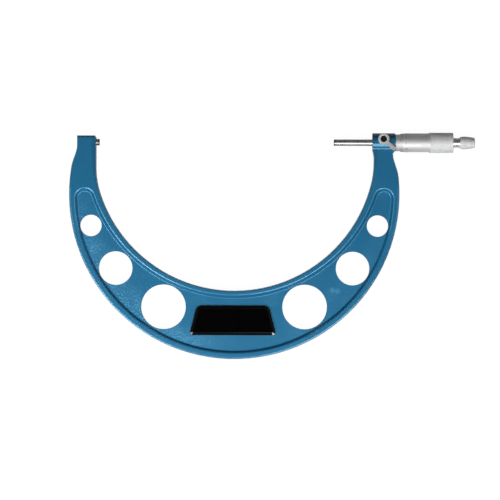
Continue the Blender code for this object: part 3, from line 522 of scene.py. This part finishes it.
def new_material(name, **fixed):
    """A material with a Principled shader whose constant sockets are set by name."""
    material = bpy.data.materials.new(name)
    material.use_nodes = True
    shader = material.node_tree.nodes["Principled BSDF"]
    for label, value in fixed.items():
        shader.inputs[label.replace("_", " ")].default_value = value
    return material, material.node_tree, shader


def feed(tree, shader, **sources):
    """Links each source to the shader's socket of that name."""
    for label, source in sources.items():
        tree.links.new(source, shader.inputs[label.replace("_", " ")])


def blend(tree, amount, first, second):
    """A colour between two, by a mask."""
    node = tree.nodes.new("ShaderNodeMix")
    node.data_type = "RGBA"
    tree.links.new(amount, node.inputs["Factor"])
    for socket, value in ((node.inputs["A"], first), (node.inputs["B"], second)):
        put(tree, value if isinstance(value, bpy.types.NodeSocket) else (*value, 1.0), socket)
    return node.outputs["Result"]


def shaded(tone, share):
    """A colour made darker or lighter by that share."""
    return [min(1.0, channel * share) for channel in tone]


def between(tree, mask, low, high):
    """A number from low to high, by a mask."""
    return math_node(tree, "ADD", times(tree, mask, high - low), low)


def bump(tree, shader, height, depth):
    """Relief of that depth in metres for a height of 0 to 1."""
    node = tree.nodes.new("ShaderNodeBump")
    node.inputs["Strength"].default_value = 1.0
    node.inputs["Distance"].default_value = depth
    tree.links.new(height, node.inputs["Height"])
    feed(tree, shader, Normal=node.outputs["Normal"])


def ring_distance(tree, centre):
    """How far a place lies from an upright axis through centre."""
    vector = place_on(tree)
    for operation, amount in (("SUBTRACT", (*centre, 0.0)), ("MULTIPLY", (1.0, 1.0, 0.0))):
        node = tree.nodes.new("ShaderNodeVectorMath")
        node.operation = operation
        tree.links.new(vector, node.inputs[0])
        node.inputs[1].default_value = amount
        vector = node.outputs["Vector"]
    size = tree.nodes.new("ShaderNodeVectorMath")
    size.operation = "LENGTH"
    tree.links.new(vector, size.inputs[0])
    return size.outputs["Value"]


def trough(tree, level):
    """1 along the foot of the recess's outer wall, where painted shade darkens the trough."""
    away = math_node(tree, "SUBTRACT", ring_distance(tree, BOW_CENTRE), TROUGH_RADIUS)
    near = band(tree, math_node(tree, "ABSOLUTE", away), TROUGH_WIDTH, 0.2 * TROUGH_WIDTH)
    return times(tree, near, band(tree, level, 0.0066, 0.0055))


def thin_lines(tree, level, y):
    """1 on the lip and the foot of the recess walls, on the throat's side and round the two ends: where
    the painted highlight lines go.
    """
    lip = times(tree, band(tree, level, 0.00640, 0.00675), band(tree, level, 0.00700, 0.00698))
    foot = times(tree, band(tree, level, 0.00395, 0.00370), band(tree, level, 0.00350, 0.00354))
    inner = band(tree, ring_distance(tree, THROAT_CENTRE), 0.1485, 0.1465)
    ends = times(tree, band(tree, y, -0.090, -0.080), band(tree, y, -0.040, -0.045))
    not_throat = band(tree, ring_distance(tree, THROAT_CENTRE), 0.1376, 0.1388)
    return times(tree, larger(tree, lip, foot), times(tree, larger(tree, inner, ends), not_throat))


def enamel_material():
    """Blue hammered enamel, livelier towards the lower left, with painted light towards the lower left
    and bottom, painted highlight lines and glare spots, and painted shade on the top edges, the
    throat's edge and the outer trough.
    """
    c = colours()
    material, tree, shader = new_material(
        "Blue hammered enamel",
        Specular_IOR_Level=0.8,
        Specular_Tint=(0.35, 0.75, 1.0, 1.0),
        Coat_Weight=0.18,
        Coat_Roughness=0.18,
        Coat_IOR=1.5,
    )
    skin = use(tree, hammered_skin, Grain=sizes().skin_grain, Ripple=0.5)
    marks = use(tree, handling, Size=0.03)
    where = coordinates(tree)
    level = math_node(tree, "ABSOLUTE", where["Z"])
    down = times(tree, where["Y"], -1.0)
    low_down = band(tree, down, 0.02, 0.17)
    leftward = band(tree, where["X"], 0.165, 0.05)
    outward = band(tree, ring_distance(tree, BOW_CENTRE), 0.126, 0.149)
    lively = times(tree, band(tree, down, 0.01, 0.09), between(tree, leftward, 0.10, 1.0))
    lively = times(tree, lively, between(tree, outward, 0.22, 1.0))
    lively = times(tree, lively, between(tree, band(tree, level, 0.0068, 0.0060), 0.40, 1.0))

    # Painted highlight: pale lines on the recess lips and feet, strongest towards the left and on the
    # two sides; this mask sets how strong they are.
    beside = between(tree, band(tree, where["Y"], -0.14, -0.08), 0.14, 0.45)
    wear_and_sheen = larger(tree, times(tree, leftward, 0.60), beside)
    lines = times(tree, thin_lines(tree, level, where["Y"]), wear_and_sheen)
    # Painted highlight: two glare spots in the pale colour, broken up by the flecks.
    spots = [band(tree, ring_distance(tree, at), GLARE_REACH, GLARE_CORE) for at in GLARE_SPOTS]
    glare_spot = times(tree, larger(tree, *spots), between(tree, skin["Flecks"], 0.35, 0.90))
    # Painted light: the enamel is lifted towards the pale colour towards the bottom, and more strongly
    # in the lively lower left, where the lamps fall.
    pale = math_node(tree, "ADD", between(tree, low_down, 0.0, 0.07), times(tree, lively, 0.16))
    pale = larger(tree, pale, larger(tree, lines, glare_spot))
    tone = blend(tree, pale, c.enamel, c.enamel_light)
    # Partly painted highlight: in the lively lower left the pale flecks stand for glints as well as the
    # skin's own speckle.
    patchy = times(tree, between(tree, skin["Patches"], 0.25, 1.0), lively)
    flecked = blend(tree, times(tree, patchy, skin["Flecks"]), tone, c.enamel_light)

    # Painted shade in the outer trough, deeper towards the bottom.
    trough_shade = times(tree, trough(tree, level), between(tree, low_down, 0.15, 0.95))
    # Painted shade: the arms' top edges and the throat's edge are darkened, and with the trough all are
    # blended towards a much darker enamel.
    top = times(tree, band(tree, where["Y"], 0.0030, 0.0052), 0.85)
    throat = times(tree, band(tree, ring_distance(tree, THROAT_CENTRE), *THROAT_EDGE), 0.35)
    dark = larger(tree, larger(tree, top, throat), trough_shade)
    feed(
        tree, shader,
        Base_Color=blend(tree, dark, flecked, shaded(c.enamel, 0.30)),
        Roughness=between(tree, marks["Smears"], 0.20, 0.27),
    )
    bump(tree, shader, times(tree, skin["Height"], between(tree, lively, 0.16, 1.0)), 0.00015)
    return material


def turned_metal(name, tone, rough, pitch, depth, dull=0.06):
    """Metal turned or ground round X, with faint rings and a few smears."""
    material, tree, shader = new_material(name, Metallic=1.0)
    lines = use(tree, turning_lines, Pitch=pitch)
    marks = use(tree, handling, Size=0.008)
    rings = between(tree, lines["Lines"], rough - 0.03, rough + 0.03)
    feed(
        tree, shader,
        Base_Color=blend(tree, times(tree, lines["Waves"], 0.5), tone, shaded(tone, 0.92)),
        Roughness=math_node(tree, "ADD", rings, times(tree, marks["Smears"], dull)),
    )
    bump(tree, shader, lines["Lines"], depth)
    return material


def knurled_metal():
    """Satin chrome over a knurl: a fine frosted grain, a little darker where it is smeared, all painted
    lighter than the plain chrome.
    """
    material, tree, shader = new_material("Knurled satin chrome", Metallic=1.0)
    marks = use(tree, handling, Size=0.005)
    grain = noise(tree, place_on(tree), 9000.0, 2.0)
    tone = colours().chrome
    feed(
        tree, shader,
        # Painted light: the chrome is lifted 8 to 18 per cent above plain chrome to make up for the
        # shade the knurl casts on itself.
        Base_Color=blend(tree, marks["Smears"], shaded(tone, 1.18), shaded(tone, 1.08)),
        Roughness=between(tree, grain, 0.74, 0.86),
    )
    bump(tree, shader, grain, 0.000006)
    return material


def carbide_material():
    """Lapped carbide, dull grey with a fine grain."""
    material, tree, shader = new_material("Lapped carbide", Metallic=1.0)
    grain = noise(tree, place_on(tree), 14000.0, 1.0)
    marks = use(tree, handling, Size=0.004)
    tone = colours().carbide
    feed(
        tree, shader,
        Base_Color=blend(tree, marks["Smears"], tone, shaded(tone, 0.75)),
        Roughness=between(tree, grain, 0.14, 0.22),
    )
    return material


def black_oxide_material():
    """Blackened steel with a brownish cast where it is rubbed."""
    material, tree, shader = new_material("Black oxide", Specular_IOR_Level=0.2)
    marks = use(tree, handling, Size=0.003)
    rubbed = (0.010, 0.009, 0.009)
    grain = noise(tree, place_on(tree), 12000.0, 2.0)
    feed(
        tree, shader,
        Base_Color=blend(tree, marks["Smears"], colours().black_oxide, rubbed),
        Roughness=between(tree, grain, 0.30, 0.42),
    )
    bump(tree, shader, grain, 0.000004)
    return material


def plate_material():
    """Moulded black plate with fine dust and smears, its polish highest on the two lower corners."""
    material, tree, shader = new_material(
        "Polished black plate", Specular_IOR_Level=0.18, Coat_Roughness=0.06, Coat_IOR=1.8
    )
    marks = use(tree, handling, Size=0.010)
    dusty = (0.008, 0.007, 0.007)
    where = coordinates(tree)
    low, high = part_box("front_plate")
    near, far = 0.0045, 0.0020
    end = (high.x - low.x) / 2
    aside = math_node(tree, "SUBTRACT", where["X"], (low.x + high.x) / 2)
    outer = band(tree, math_node(tree, "ABSOLUTE", aside), end - near, end - far)
    lower = band(tree, where["Y"], low.y + near, low.y + far)
    right = between(tree, band(tree, where["X"], low.x, high.x), 0.35, 1.0)
    feed(
        tree, shader,
        Base_Color=blend(tree, times(tree, marks["Specks"], 0.5), colours().plate, dusty),
        Roughness=between(tree, marks["Smears"], 0.07, 0.10),
        Coat_Weight=times(tree, times(tree, outer, lower), right),
    )
    bump(tree, shader, noise(tree, place_on(tree), 420.0, 1.0), 0.00001)
    return material


def ink_material():
    """Black ink, a little paler in places where it has rubbed off."""
    material, tree, shader = new_material("Black ink", IOR=1.45)
    wear = noise(tree, place_on(tree), 5000.0, 2.0)
    wear_and_sheen = (0.030, 0.030, 0.031)
    feed(
        tree, shader,
        Base_Color=blend(tree, band(tree, wear, 0.45, 0.75), colours().ink, wear_and_sheen),
        Roughness=between(tree, wear, 0.45, 0.60),
    )
    return material


def finish_for(name):
    """A finish of this instrument, built once."""
    c = colours()
    turned_finishes = {
        "Satin chrome": (c.chrome, 0.60, 0.00010, 0.0000016),
        "Ground steel": (c.steel, 0.19, 0.00005, 0.0000003, 0.02),
        "Bright steel": (c.chrome, 0.20, 0.00008, 0.0000010),
        "Lever steel": (LEVER_STEEL, 0.33, 0.00030, 0.0000006),
    }
    makers = {
        "Blue hammered enamel": enamel_material,
        "Knurled satin chrome": knurled_metal,
        "Lapped carbide": carbide_material,
        "Black oxide": black_oxide_material,
        "Polished black plate": plate_material,
        "Black ink": ink_material,
    }
    done = bpy.data.materials.get(name)
    if done:
        return done
    return turned_metal(name, *turned_finishes[name]) if name in turned_finishes else makers[name]()


# Pieces


def select_nothing(piece):
    start_edit(piece)
    bpy.ops.mesh.select_all(action="DESELECT")
    end_edit()


def round_edges(piece, wanted, width):
    """Rounds the edges whose numbers are wanted."""
    select_nothing(piece)
    for edge in piece.data.edges:
        edge.select = edge.index in wanted
    bpy.ops.object.mode_set(mode="EDIT")
    bpy.ops.mesh.select_mode(type="EDGE")
    bpy.ops.mesh.bevel(affect="EDGES", offset=width, segments=5, clamp_overlap=True)
    bpy.ops.mesh.select_mode(type="VERT")
    end_edit()


def wall_edges(mesh, level, least, most, side):
    """The edges at that height, front and back, between a flat face and a slope on that side of it."""
    faces_of = {}
    for face in mesh.polygons:
        for key in face.edge_keys:
            faces_of.setdefault(key, []).append(face)
    found = set()
    for edge in mesh.edges:
        ends = [mesh.vertices[i].co for i in edge.vertices]
        if any(abs(abs(end.z) - level) > SAME_HEIGHT for end in ends):
            continue
        faces = sorted(faces_of[edge.key], key=lambda face: abs(face.normal.z))
        slope, flat = faces[0], faces[-1]
        outside = side * (abs(slope.center.z) - level) > 0
        if abs(flat.normal.z) > FLAT_TILT and least < abs(slope.normal.z) < most and outside:
            found.add(edge.index)
    return found


def build_casting():
    """The bow, with the lips and feet of its recesses rounded, and a small round on its other edges."""
    casting = copy_of("frame", "bow_casting")
    lips = wall_edges(casting.data, 0.5 * FRAME_THICKNESS, 0.70, 0.92, -1)
    round_edges(casting, lips, sizes().lip_round)
    feet = wall_edges(casting.data, 0.25 * FRAME_THICKNESS, 0.80, 0.98, 1)
    round_edges(casting, feet, sizes().foot_round)
    soften(casting, sizes().casting_edge, limit=32.0)
    hand_over(casting, finish_for("Blue hammered enamel"), "blue_enamel", "frame", "frame")


def build_plate(node, name):
    """A trapezoid plate: rounded upper corners, cut lower corners, a wide bevel and a flat middle."""
    s = sizes()
    low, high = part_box(node)
    side = 1 if high.z > 0 else -1
    back, front = (low.z, high.z) if side > 0 else (high.z, low.z)
    half = (high.x - low.x) / 2
    middle = Vector(((low.x + high.x) / 2, (low.y + high.y) / 2, back))
    bpy.ops.object.select_all(action="DESELECT")
    bpy.ops.mesh.primitive_plane_add(size=1, location=middle)
    plate = bpy.context.active_object
    plate.name = name
    plate.scale = (2 * half + 0.0011, high.y - low.y, 1)
    place(plate)
    for vertex in plate.data.vertices:
        if vertex.co.y > middle.y:
            vertex.co.x -= math.copysign(s.plate_lean, vertex.co.x - middle.x)
    for upper, width in ((True, 0.0042), (False, 0.0040)):
        select_nothing(plate)
        for vertex in plate.data.vertices:
            corner = abs(vertex.co.y - middle.y) > 0.98 * (high.y - low.y) / 2
            vertex.select = corner and (vertex.co.y > middle.y) == upper
        bpy.ops.object.mode_set(mode="EDIT")
        bpy.ops.mesh.select_mode(type="VERT")
        bpy.ops.mesh.bevel(affect="VERTICES", offset=width, segments=8)
        end_edit()
    start_edit(plate)
    drop = side * s.plate_bevel_drop
    bpy.ops.mesh.extrude_region_move(TRANSFORM_OT_translate={"value": (0, 0, front - back - drop)})
    bpy.ops.mesh.inset(thickness=s.plate_bevel, depth=0)
    bpy.ops.transform.translate(value=(0, 0, drop))
    end_edit()
    clean_up(plate)
    soften(plate, 0.00045, limit=12.0, steps=4)
    hand_over(plate, finish_for("Polished black plate"), "gloss_black", "frame", node)


def build_anvil_and_spindle():
    """The two measuring ends, and the guide that the spindle comes out of."""
    edge = sizes().machined_edge
    for node, name, finish, slot, body in (
        ("anvil", "anvil_pin", "Ground steel", "ground_steel", "frame"),
        ("anvil_tip", "anvil_face", "Lapped carbide", "carbide", "frame"),
        ("spindle_tip", "spindle_face", "Lapped carbide", "carbide", "spindle_end"),
        ("spindle", "spindle_rod", "Ground steel", "ground_steel", "thimble"),
        ("inner_sleeve", "guide_sleeve", "Ground steel", "ground_steel", "frame"),
    ):
        piece = copy_of(node, name)
        soften(piece, edge / 2, limit=40.0, steps=1)
        hand_over(piece, finish_for(finish), slot, body, node)
    carry("adjusting_nut", finish_for("Black oxide"))


def build_sleeve():
    """The sleeve and its main scale: a line, marks each millimetre, and each half on the other side."""
    s = sizes()
    sleeve = copy_of("graduated_sleeve", "main_sleeve")
    soften(sleeve, s.machined_edge, limit=40.0)
    hand_over(sleeve, finish_for("Satin chrome"), "satin_chrome", "frame", "graduated_sleeve")
    low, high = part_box("graduated_sleeve")
    radius = high.y
    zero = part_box("thimble")[0].x
    margin = 0.0012
    line_front = low.x + margin
    marks = [bar(line_front, high.x - margin - line_front, s.mark_width, radius)]
    for kind, tall, side in (("long", 0.0021, 1), ("short", 0.0014, 1), ("half", 0.0012, -1)):
        first = bar(zero - s.mark_width / 2, s.mark_width, tall, radius)
        off_line = side * tall / 2 / radius
        bpy.ops.transform.rotate(value=off_line, orient_axis="X", center_override=(0, 0, 0))
        for step in range(51):
            if kind == ("half" if step % 2 else "short" if step % 10 else "long"):
                marks.append(copy_along(first, step * MAIN_STEP))
        bpy.data.objects.remove(first)
    scale = joined(marks, "main_scale_marks")
    bpy.ops.transform.rotate(value=SCALE_TURN, orient_axis="X", center_override=(0, 0, 0))
    place(scale)
    turn = SCALE_TURN + 0.0034 / radius
    marks = [scale]
    for reading in range(0, 26, 5):
        marks.append(numeral(str(reading), zero + reading * 2 * MAIN_STEP, radius, turn, "CENTER"))
    scale = joined(marks, "main_scale")
    hand_over(scale, finish_for("Black ink"), "black_steel", "frame")


def build_thimble():
    """The thimble: bevel, barrel, step, knurled band, and the hub inside on the spindle's taper."""
    s = sizes()
    low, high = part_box("thimble")
    front, back, crest = low.x, high.x, high.y
    taper_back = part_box("spindle")[1].x
    taper_front = taper_back - 0.0082
    hub_bore = 0.0017
    band_front = back - s.band_length
    chamfer = 0.0006
    knurl_front, knurl_back = band_front + chamfer, back - chamfer
    rows = round((knurl_back - knurl_front) / (s.band_knurl / 4))
    step = (knurl_back - knurl_front) / rows
    count = round(2 * math.pi * crest / s.band_knurl)
    outside = [
        (front, s.thimble_bore + s.thimble_lip - 0.00006),
        (front + 0.00008, s.thimble_bore + s.thimble_lip),
        (front + s.thimble_bevel - 0.0002, s.thimble_radius - 0.00003),
        (front + s.thimble_bevel, s.thimble_radius),
        (band_front - 0.0015, s.thimble_radius),
        (band_front - 0.0013, s.thimble_radius + 0.00005),
        (band_front - 0.0002, crest - 0.00004),
        (band_front, crest),
    ]
    grip = [(knurl_front + step * i, crest) for i in range(rows + 1)]
    inside = [
        (back - 0.0001, crest - chamfer),
        (back, crest - chamfer - 0.0001),
        (back, hub_bore),
        (taper_back + 0.0002, hub_bore),
        (taper_back + 0.0002, 0.00285),
        (taper_front, 0.00345),
        (taper_front - 0.0002, 0.00375),
        (taper_front - 0.0002, s.thimble_bore),
        (front, s.thimble_bore),
    ]
    thimble = turned("thimble_barrel", outside + grip + inside, 4 * count)
    shade(thimble, 35.0)
    hand_over(thimble, finish_for("Satin chrome"), "satin_chrome", "thimble", "thimble")
    thimble.data.materials.append(finish_for("Knurled satin chrome"))
    for face in thimble.data.polygons:
        y, z = face.center.y, face.center.z
        if knurl_front < face.center.x < knurl_back and math.hypot(y, z) > 0.9 * crest:
            face.material_index = 1
    knurl(thimble, knurl_front, knurl_back, 4 * step, s.band_relief, count, 0.0004)
    build_thimble_scale(front)


def build_thimble_scale(front):
    """Fifty marks on the bevel, every fifth one longer, and a number beside every fifth."""
    s = sizes()
    start = s.thimble_bore + s.thimble_lip
    slope = (s.thimble_radius - start) / s.thimble_bevel
    inset = 0.00015
    marks = []
    for reach, fifths in ((0.0032, True), (0.0022, False)):
        first = bar(front + inset, reach, s.mark_width, start + slope * inset)
        lean(first, front + inset, slope)
        for step in range(50):
            if (step % 5 == 0) == fifths:
                marks.append(copy_round(first, SCALE_TURN + step * FINE_STEP))
        bpy.data.objects.remove(first)
    for step in range(0, 50, 5):
        turn = SCALE_TURN + step * FINE_STEP
        marks.append(numeral(str(step), front + s.thimble_bevel + 0.0002, s.thimble_radius, turn))
    scale = joined(marks, "thimble_scale")
    hand_over(scale, finish_for("Black ink"), "black_steel", "thimble")


def build_ratchet():
    """The ratchet stop: plain collar, crowned knurled grip, and the screw seen in its end."""
    s = sizes()
    low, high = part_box("ratchet_knob")
    front, back, crest = low.x, high.x, high.y
    wall_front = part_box("ratchet_crown")[1].x + 0.00005
    wall_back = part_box("ratchet_screw")[1].x - 0.0002
    bore, journal = 0.00425, 0.00196
    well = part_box("ratchet_cap_screw")[1].y + 0.0003
    collar_end = front + s.knob_collar
    first, last = collar_end + 0.0003, back - 0.0007
    bulge = front + 0.0070
    rows = round((last - first) / (s.knob_knurl / 4))
    count = round(2 * math.pi * crest / s.knob_knurl)

    def crown(x):
        if x < bulge:
            return crest - 0.00065 * ((bulge - x) / (bulge - first)) ** 2
        return crest - 0.00120 * ((x - bulge) / (last - bulge)) ** 1.6

    outside = [
        (front, s.knob_collar_radius - 0.0001),
        (front + 0.0001, s.knob_collar_radius),
        (collar_end, s.knob_collar_radius),
        (collar_end, crown(first) - 0.0003),
    ]
    places = [first + (last - first) * i / rows for i in range(rows + 1)]
    grip = [(x, crown(x)) for x in places]
    inside = [
        (back - 0.0002, crown(last) - 0.0004),
        (back, crown(last) - 0.0007),
        (back, well + 0.0001),
        (back - 0.0001, well),
        (wall_back, well),
        (wall_back, journal),
        (wall_front, journal),
        (wall_front, bore),
        (front, bore),
    ]
    knob = turned("ratchet_grip", outside + grip + inside, 4 * count)
    shade(knob, 35.0)
    hand_over(knob, finish_for("Bright steel"), "satin_chrome", "knob", "ratchet_knob")
    knob.data.materials.append(finish_for("Knurled satin chrome"))
    for face in knob.data.polygons:
        if first < face.center.x < last and math.hypot(face.center.y, face.center.z) > 0.75 * crest:
            face.material_index = 1
    knurl(knob, first, last, 4 * (last - first) / rows, s.knob_relief, count, 0.0005)
    for node, name in (("ratchet_screw", "ratchet_stud"), ("ratchet_cap_screw", "end_screw")):
        piece = copy_of(node, name)
        soften(piece, s.machined_edge, limit=40.0)
        hand_over(piece, finish_for("Bright steel"), "ground_steel", "thimble", node)
    for node in ("ratchet_claw", "ratchet_crown"):
        carry(node, finish_for("Ground steel"))
    spring = copy_of("ratchet_spring", "click_spring")
    shade(spring, 60.0)
    hand_over(spring, finish_for("Ground steel"), "ground_steel", "thimble", "ratchet_spring")
    low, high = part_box("ratchet_spring")
    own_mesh(spring)


def build_lock():
    """The lever lock beside the spindle: ring and arm, black socket screw, washer and cross pin."""
    s = sizes()
    for node, name, finish, slot, body, width in (
        ("lock_lever", "lever_arm", "Lever steel", "satin_chrome", "lever", 0.0005),
        ("lock_screw", "lever_screw", "Black oxide", "black_steel", "lever", 0.00035),
        ("lock_washer", "lever_washer", "Black oxide", "black_steel", "frame", 0.00005),
    ):
        piece = copy_of(node, name)
        soften(piece, width, limit=35.0)
        hand_over(piece, finish_for(finish), slot, body, node)
    carry("lock_pin", finish_for("Ground steel"))


# Stage


def seen_share(tree, plain, off_metal):
    """plain for camera rays and through glass, off_metal for rays off a shiny face, otherwise 0."""
    path = tree.nodes.new("ShaderNodeLightPath").outputs
    seen = larger(tree, path["Is Camera Ray"], path["Is Transmission Ray"])
    return larger(tree, times(tree, seen, plain), times(tree, path["Is Glossy Ray"], off_metal))


def lie_of_the_floor():
    """Where the floor lies: the height below the origin and the slope of its three resting points."""
    front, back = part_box("thimble")
    fall = (front.z + 0.5 * FRAME_THICKNESS) / RESTING_SPAN
    return Vector((back.x - 0.003, 0.0, front.z - 0.00005)), fall


def floor_height(x, y):
    at, fall = lie_of_the_floor()
    return at.z + fall * ((x - at.x) * RESTING_WAY[0] + y * RESTING_WAY[1])


def white_floor():
    """A pale floor that the object lies on, at the slight tilt of its three resting points."""
    bpy.ops.object.select_all(action="DESELECT")
    bpy.ops.mesh.primitive_plane_add(size=8.0, location=(0, 0, 0))
    floor = bpy.context.active_object
    floor.name = "pale_floor"
    for vertex in floor.data.vertices:
        vertex.co.z = floor_height(vertex.co.x, vertex.co.y)
    material, tree, shader = new_material("Pale floor", Roughness=0.9)
    paper = noise(tree, place_on(tree), 60.0, 2.0)
    feed(tree, shader, Base_Color=blend(tree, paper, [0.80] * 3, [0.83] * 3))
    glow = tree.nodes.new("ShaderNodeEmission")
    glow.inputs["Strength"].default_value = 1.05
    mixed = tree.nodes.new("ShaderNodeMixShader")
    beside_thimble = band(tree, coordinates(tree)["X"], 0.283, 0.297)
    shine = between(tree, beside_thimble, FLOOR_OFF_ENAMEL, FLOOR_OFF_METAL)
    tree.links.new(seen_share(tree, FLOOR_SEEN, shine), mixed.inputs["Fac"])
    tree.links.new(shader.outputs["BSDF"], mixed.inputs[1])
    tree.links.new(glow.outputs["Emission"], mixed.inputs[2])
    tree.links.new(mixed.outputs[0], tree.nodes["Material Output"].inputs["Surface"])
    floor.data.materials.append(material)


def cloth(name, tone):
    material, tree, shader = new_material(name, Roughness=1.0)
    weave = noise(tree, place_on(tree), 30.0, 2.0)
    feed(tree, shader, Base_Color=blend(tree, weave, [tone * 1.04] * 3, [tone * 0.96] * 3))
    return material


def reflections_only(card, material, shades):
    """A card of the studio that is seen only in shiny faces, and may shade what lies behind it."""
    card.data.materials.append(material)
    card.visible_camera = False
    card.visible_diffuse = False
    card.visible_shadow = shades
    card.visible_transmission = False


def grey_cloth():
    """Grey cloth beyond the spindle, along the floor and up: it darkens the cylinders' upper edge."""
    steps = 16
    bpy.ops.object.select_all(action="DESELECT")
    bpy.ops.mesh.primitive_grid_add(x_subdivisions=1, y_subdivisions=steps, size=1, location=(0, 0, 0))
    card = bpy.context.active_object
    card.name = "grey_cloth"
    for vertex in card.data.vertices:
        rung = round((vertex.co.y + 0.5) * steps)
        x = VIEW_CENTRE.x + 3.0 * vertex.co.x
        if rung == 0:
            y, z = CLOTH_START, floor_height(x, CLOTH_START) + 0.0002
        else:
            swing = math.radians(90 - (90 - CLOTH_END) * (rung - 1) / (steps - 1))
            y = CLOTH_REACH * math.sin(swing)
            z = CLOTH_REACH * math.cos(swing)
            if rung == 1:
                z = floor_height(x, y) + 0.0002
        vertex.co = (x, y, z)
    reflections_only(card, cloth("Grey cloth", 0.52), False)


def lens_hood():
    """The dark hood round the lens, so that flat faces mirror it and keep their depth of colour."""
    bpy.ops.object.select_all(action="DESELECT")
    bpy.ops.mesh.primitive_plane_add(size=1, location=(0.115, -0.105, 0.95 * VIEW_DISTANCE))
    hood = bpy.context.active_object
    hood.name = "lens_hood"
    hood.scale = (5.2, 0.64, 1)
    place(hood)
    reflections_only(hood, cloth("Black felt", 0.02), True)


def soft_box(name, place_at, aim, wide, tall, radiance):
    """A lamp of that brightness, from place_at towards aim."""
    bpy.ops.object.select_all(action="DESELECT")
    bpy.ops.object.light_add(type="AREA", location=place_at)
    lamp = bpy.context.active_object
    lamp.name = name
    lamp.data.shape = "RECTANGLE"
    lamp.data.size = wide
    lamp.data.size_y = tall
    lamp.data.energy = 4 * wide * tall * radiance
    lamp.rotation_euler = (Vector(aim) - Vector(place_at)).to_track_quat("-Z", "Y").to_euler()


def pale_world():
    world = bpy.data.worlds.new("Pale studio")
    bpy.context.scene.world = world
    world.use_nodes = True
    tree = world.node_tree
    background = tree.nodes["Background"]
    background.inputs["Color"].default_value = (1.0, 1.0, 1.0, 1.0)
    shown = seen_share(tree, 1.0, WORLD_OFF_METAL)
    tree.links.new(larger(tree, shown, WORLD_FILL), background.inputs["Strength"])


def front_camera():
    data = bpy.data.cameras.new("Front camera")
    camera = bpy.data.objects.new("front_camera", data)
    bpy.context.scene.collection.objects.link(camera)
    camera.location = VIEW_CENTRE + Vector((0, 0, VIEW_DISTANCE))
    camera.rotation_euler = (0, 0, VIEW_TURN)
    data.sensor_fit = "AUTO"
    data.sensor_width = 36.0
    data.lens = 36.0 * VIEW_DISTANCE / VIEW_WIDTH
    data.clip_end = 50.0
    bpy.context.scene.camera = camera


class MICROMETER_OT_stage(bpy.types.Operator):
    """Lay the white floor, hang the lamps and set the camera straight above the face"""

    bl_idname = "micrometer.stage"
    bl_label = "Stage"

    def execute(self, context):
        context.scene.view_settings.view_transform = "Standard"
        pale_world()
        white_floor()
        grey_cloth()
        lens_hood()
        soft_box("left_soft_box", (-0.30, -0.48, 0.78), (0.06, -0.12, 0), 0.45, 0.42, 7.2)
        soft_box("right_soft_box", (0.38, -0.50, 0.80), (0.20, -0.07, 0), 0.45, 0.42, 5.8)
        soft_box("ceiling", (0.145, -0.70, 3.6), (0.145, -0.70, 0), 2.4, 3.2, 0.40)
        front_camera()
        return {"FINISHED"}


class MICROMETER_OT_casting(bpy.types.Operator):
    """Dress the bow casting in hammered enamel"""

    bl_idname = "micrometer.casting"
    bl_label = "Bow casting"

    def execute(self, context):
        build_casting()
        return {"FINISHED"}


class MICROMETER_OT_plates(bpy.types.Operator):
    """Make the two insulating plates"""

    bl_idname = "micrometer.plates"
    bl_label = "Insulating plates"

    def execute(self, context):
        build_plate("front_plate", "reading_side_plate")
        build_plate("rear_plate", "back_side_plate")
        return {"FINISHED"}


class MICROMETER_OT_measuring_ends(bpy.types.Operator):
    """Dress the anvil, the spindle, their carbide faces and the guide"""

    bl_idname = "micrometer.measuring_ends"
    bl_label = "Anvil and spindle"

    def execute(self, context):
        build_anvil_and_spindle()
        return {"FINISHED"}


class MICROMETER_OT_sleeve(bpy.types.Operator):
    """Dress the sleeve and ink its main scale"""

    bl_idname = "micrometer.sleeve"
    bl_label = "Graduated sleeve"

    def execute(self, context):
        build_sleeve()
        return {"FINISHED"}


class MICROMETER_OT_thimble(bpy.types.Operator):
    """Turn the thimble, knurl its band and ink its fine scale"""

    bl_idname = "micrometer.thimble"
    bl_label = "Thimble"

    def execute(self, context):
        build_thimble()
        return {"FINISHED"}


class MICROMETER_OT_ratchet(bpy.types.Operator):
    """Turn and knurl the ratchet knob and dress the stop's inner pieces"""

    bl_idname = "micrometer.ratchet"
    bl_label = "Ratchet stop"

    def execute(self, context):
        build_ratchet()
        return {"FINISHED"}


class MICROMETER_OT_lock(bpy.types.Operator):
    """Dress the lever lock"""

    bl_idname = "micrometer.lock"
    bl_label = "Spindle lock"

    def execute(self, context):
        build_lock()
        return {"FINISHED"}


STEPS = (
    MICROMETER_OT_stage,
    MICROMETER_OT_casting,
    MICROMETER_OT_plates,
    MICROMETER_OT_measuring_ends,
    MICROMETER_OT_sleeve,
    MICROMETER_OT_thimble,
    MICROMETER_OT_ratchet,
    MICROMETER_OT_lock,
)


class MICROMETER_PT_sidebar(bpy.types.Panel):
    """Buttons for the stage and each group of pieces"""

    bl_idname = "MICROMETER_PT_sidebar"
    bl_label = "Outside micrometer"
    bl_space_type = "VIEW_3D"
    bl_region_type = "UI"
    bl_category = "Micrometer"

    def draw(self, context):
        for step in STEPS:
            self.layout.operator(step.bl_idname)
        for group in (context.scene.micrometer_sizes, context.scene.micrometer_colours):
            box = self.layout.box()
            for name in group.__annotations__:
                box.prop(group, name)


CLASSES = (MicrometerSizes, MicrometerColours, *STEPS, MICROMETER_PT_sidebar)


def register():
    for item in CLASSES:
        bpy.utils.register_class(item)
    bpy.types.Scene.micrometer_sizes = bpy.props.PointerProperty(type=MicrometerSizes)
    bpy.types.Scene.micrometer_colours = bpy.props.PointerProperty(type=MicrometerColours)


def unregister():
    del bpy.types.Scene.micrometer_colours
    del bpy.types.Scene.micrometer_sizes
    for item in reversed(CLASSES):
        bpy.utils.unregister_class(item)


def plain(box):
    return [[float(value) for value in corner] for corner in box]


def main():
    register()
    bpy.ops.micrometer.stage()
    bpy.ops.micrometer.casting()
    bpy.ops.micrometer.plates()
    bpy.ops.micrometer.measuring_ends()
    bpy.ops.micrometer.sleeve()
    bpy.ops.micrometer.thimble()
    bpy.ops.micrometer.ratchet()
    bpy.ops.micrometer.lock()


if __name__ == "__main__":
    main()
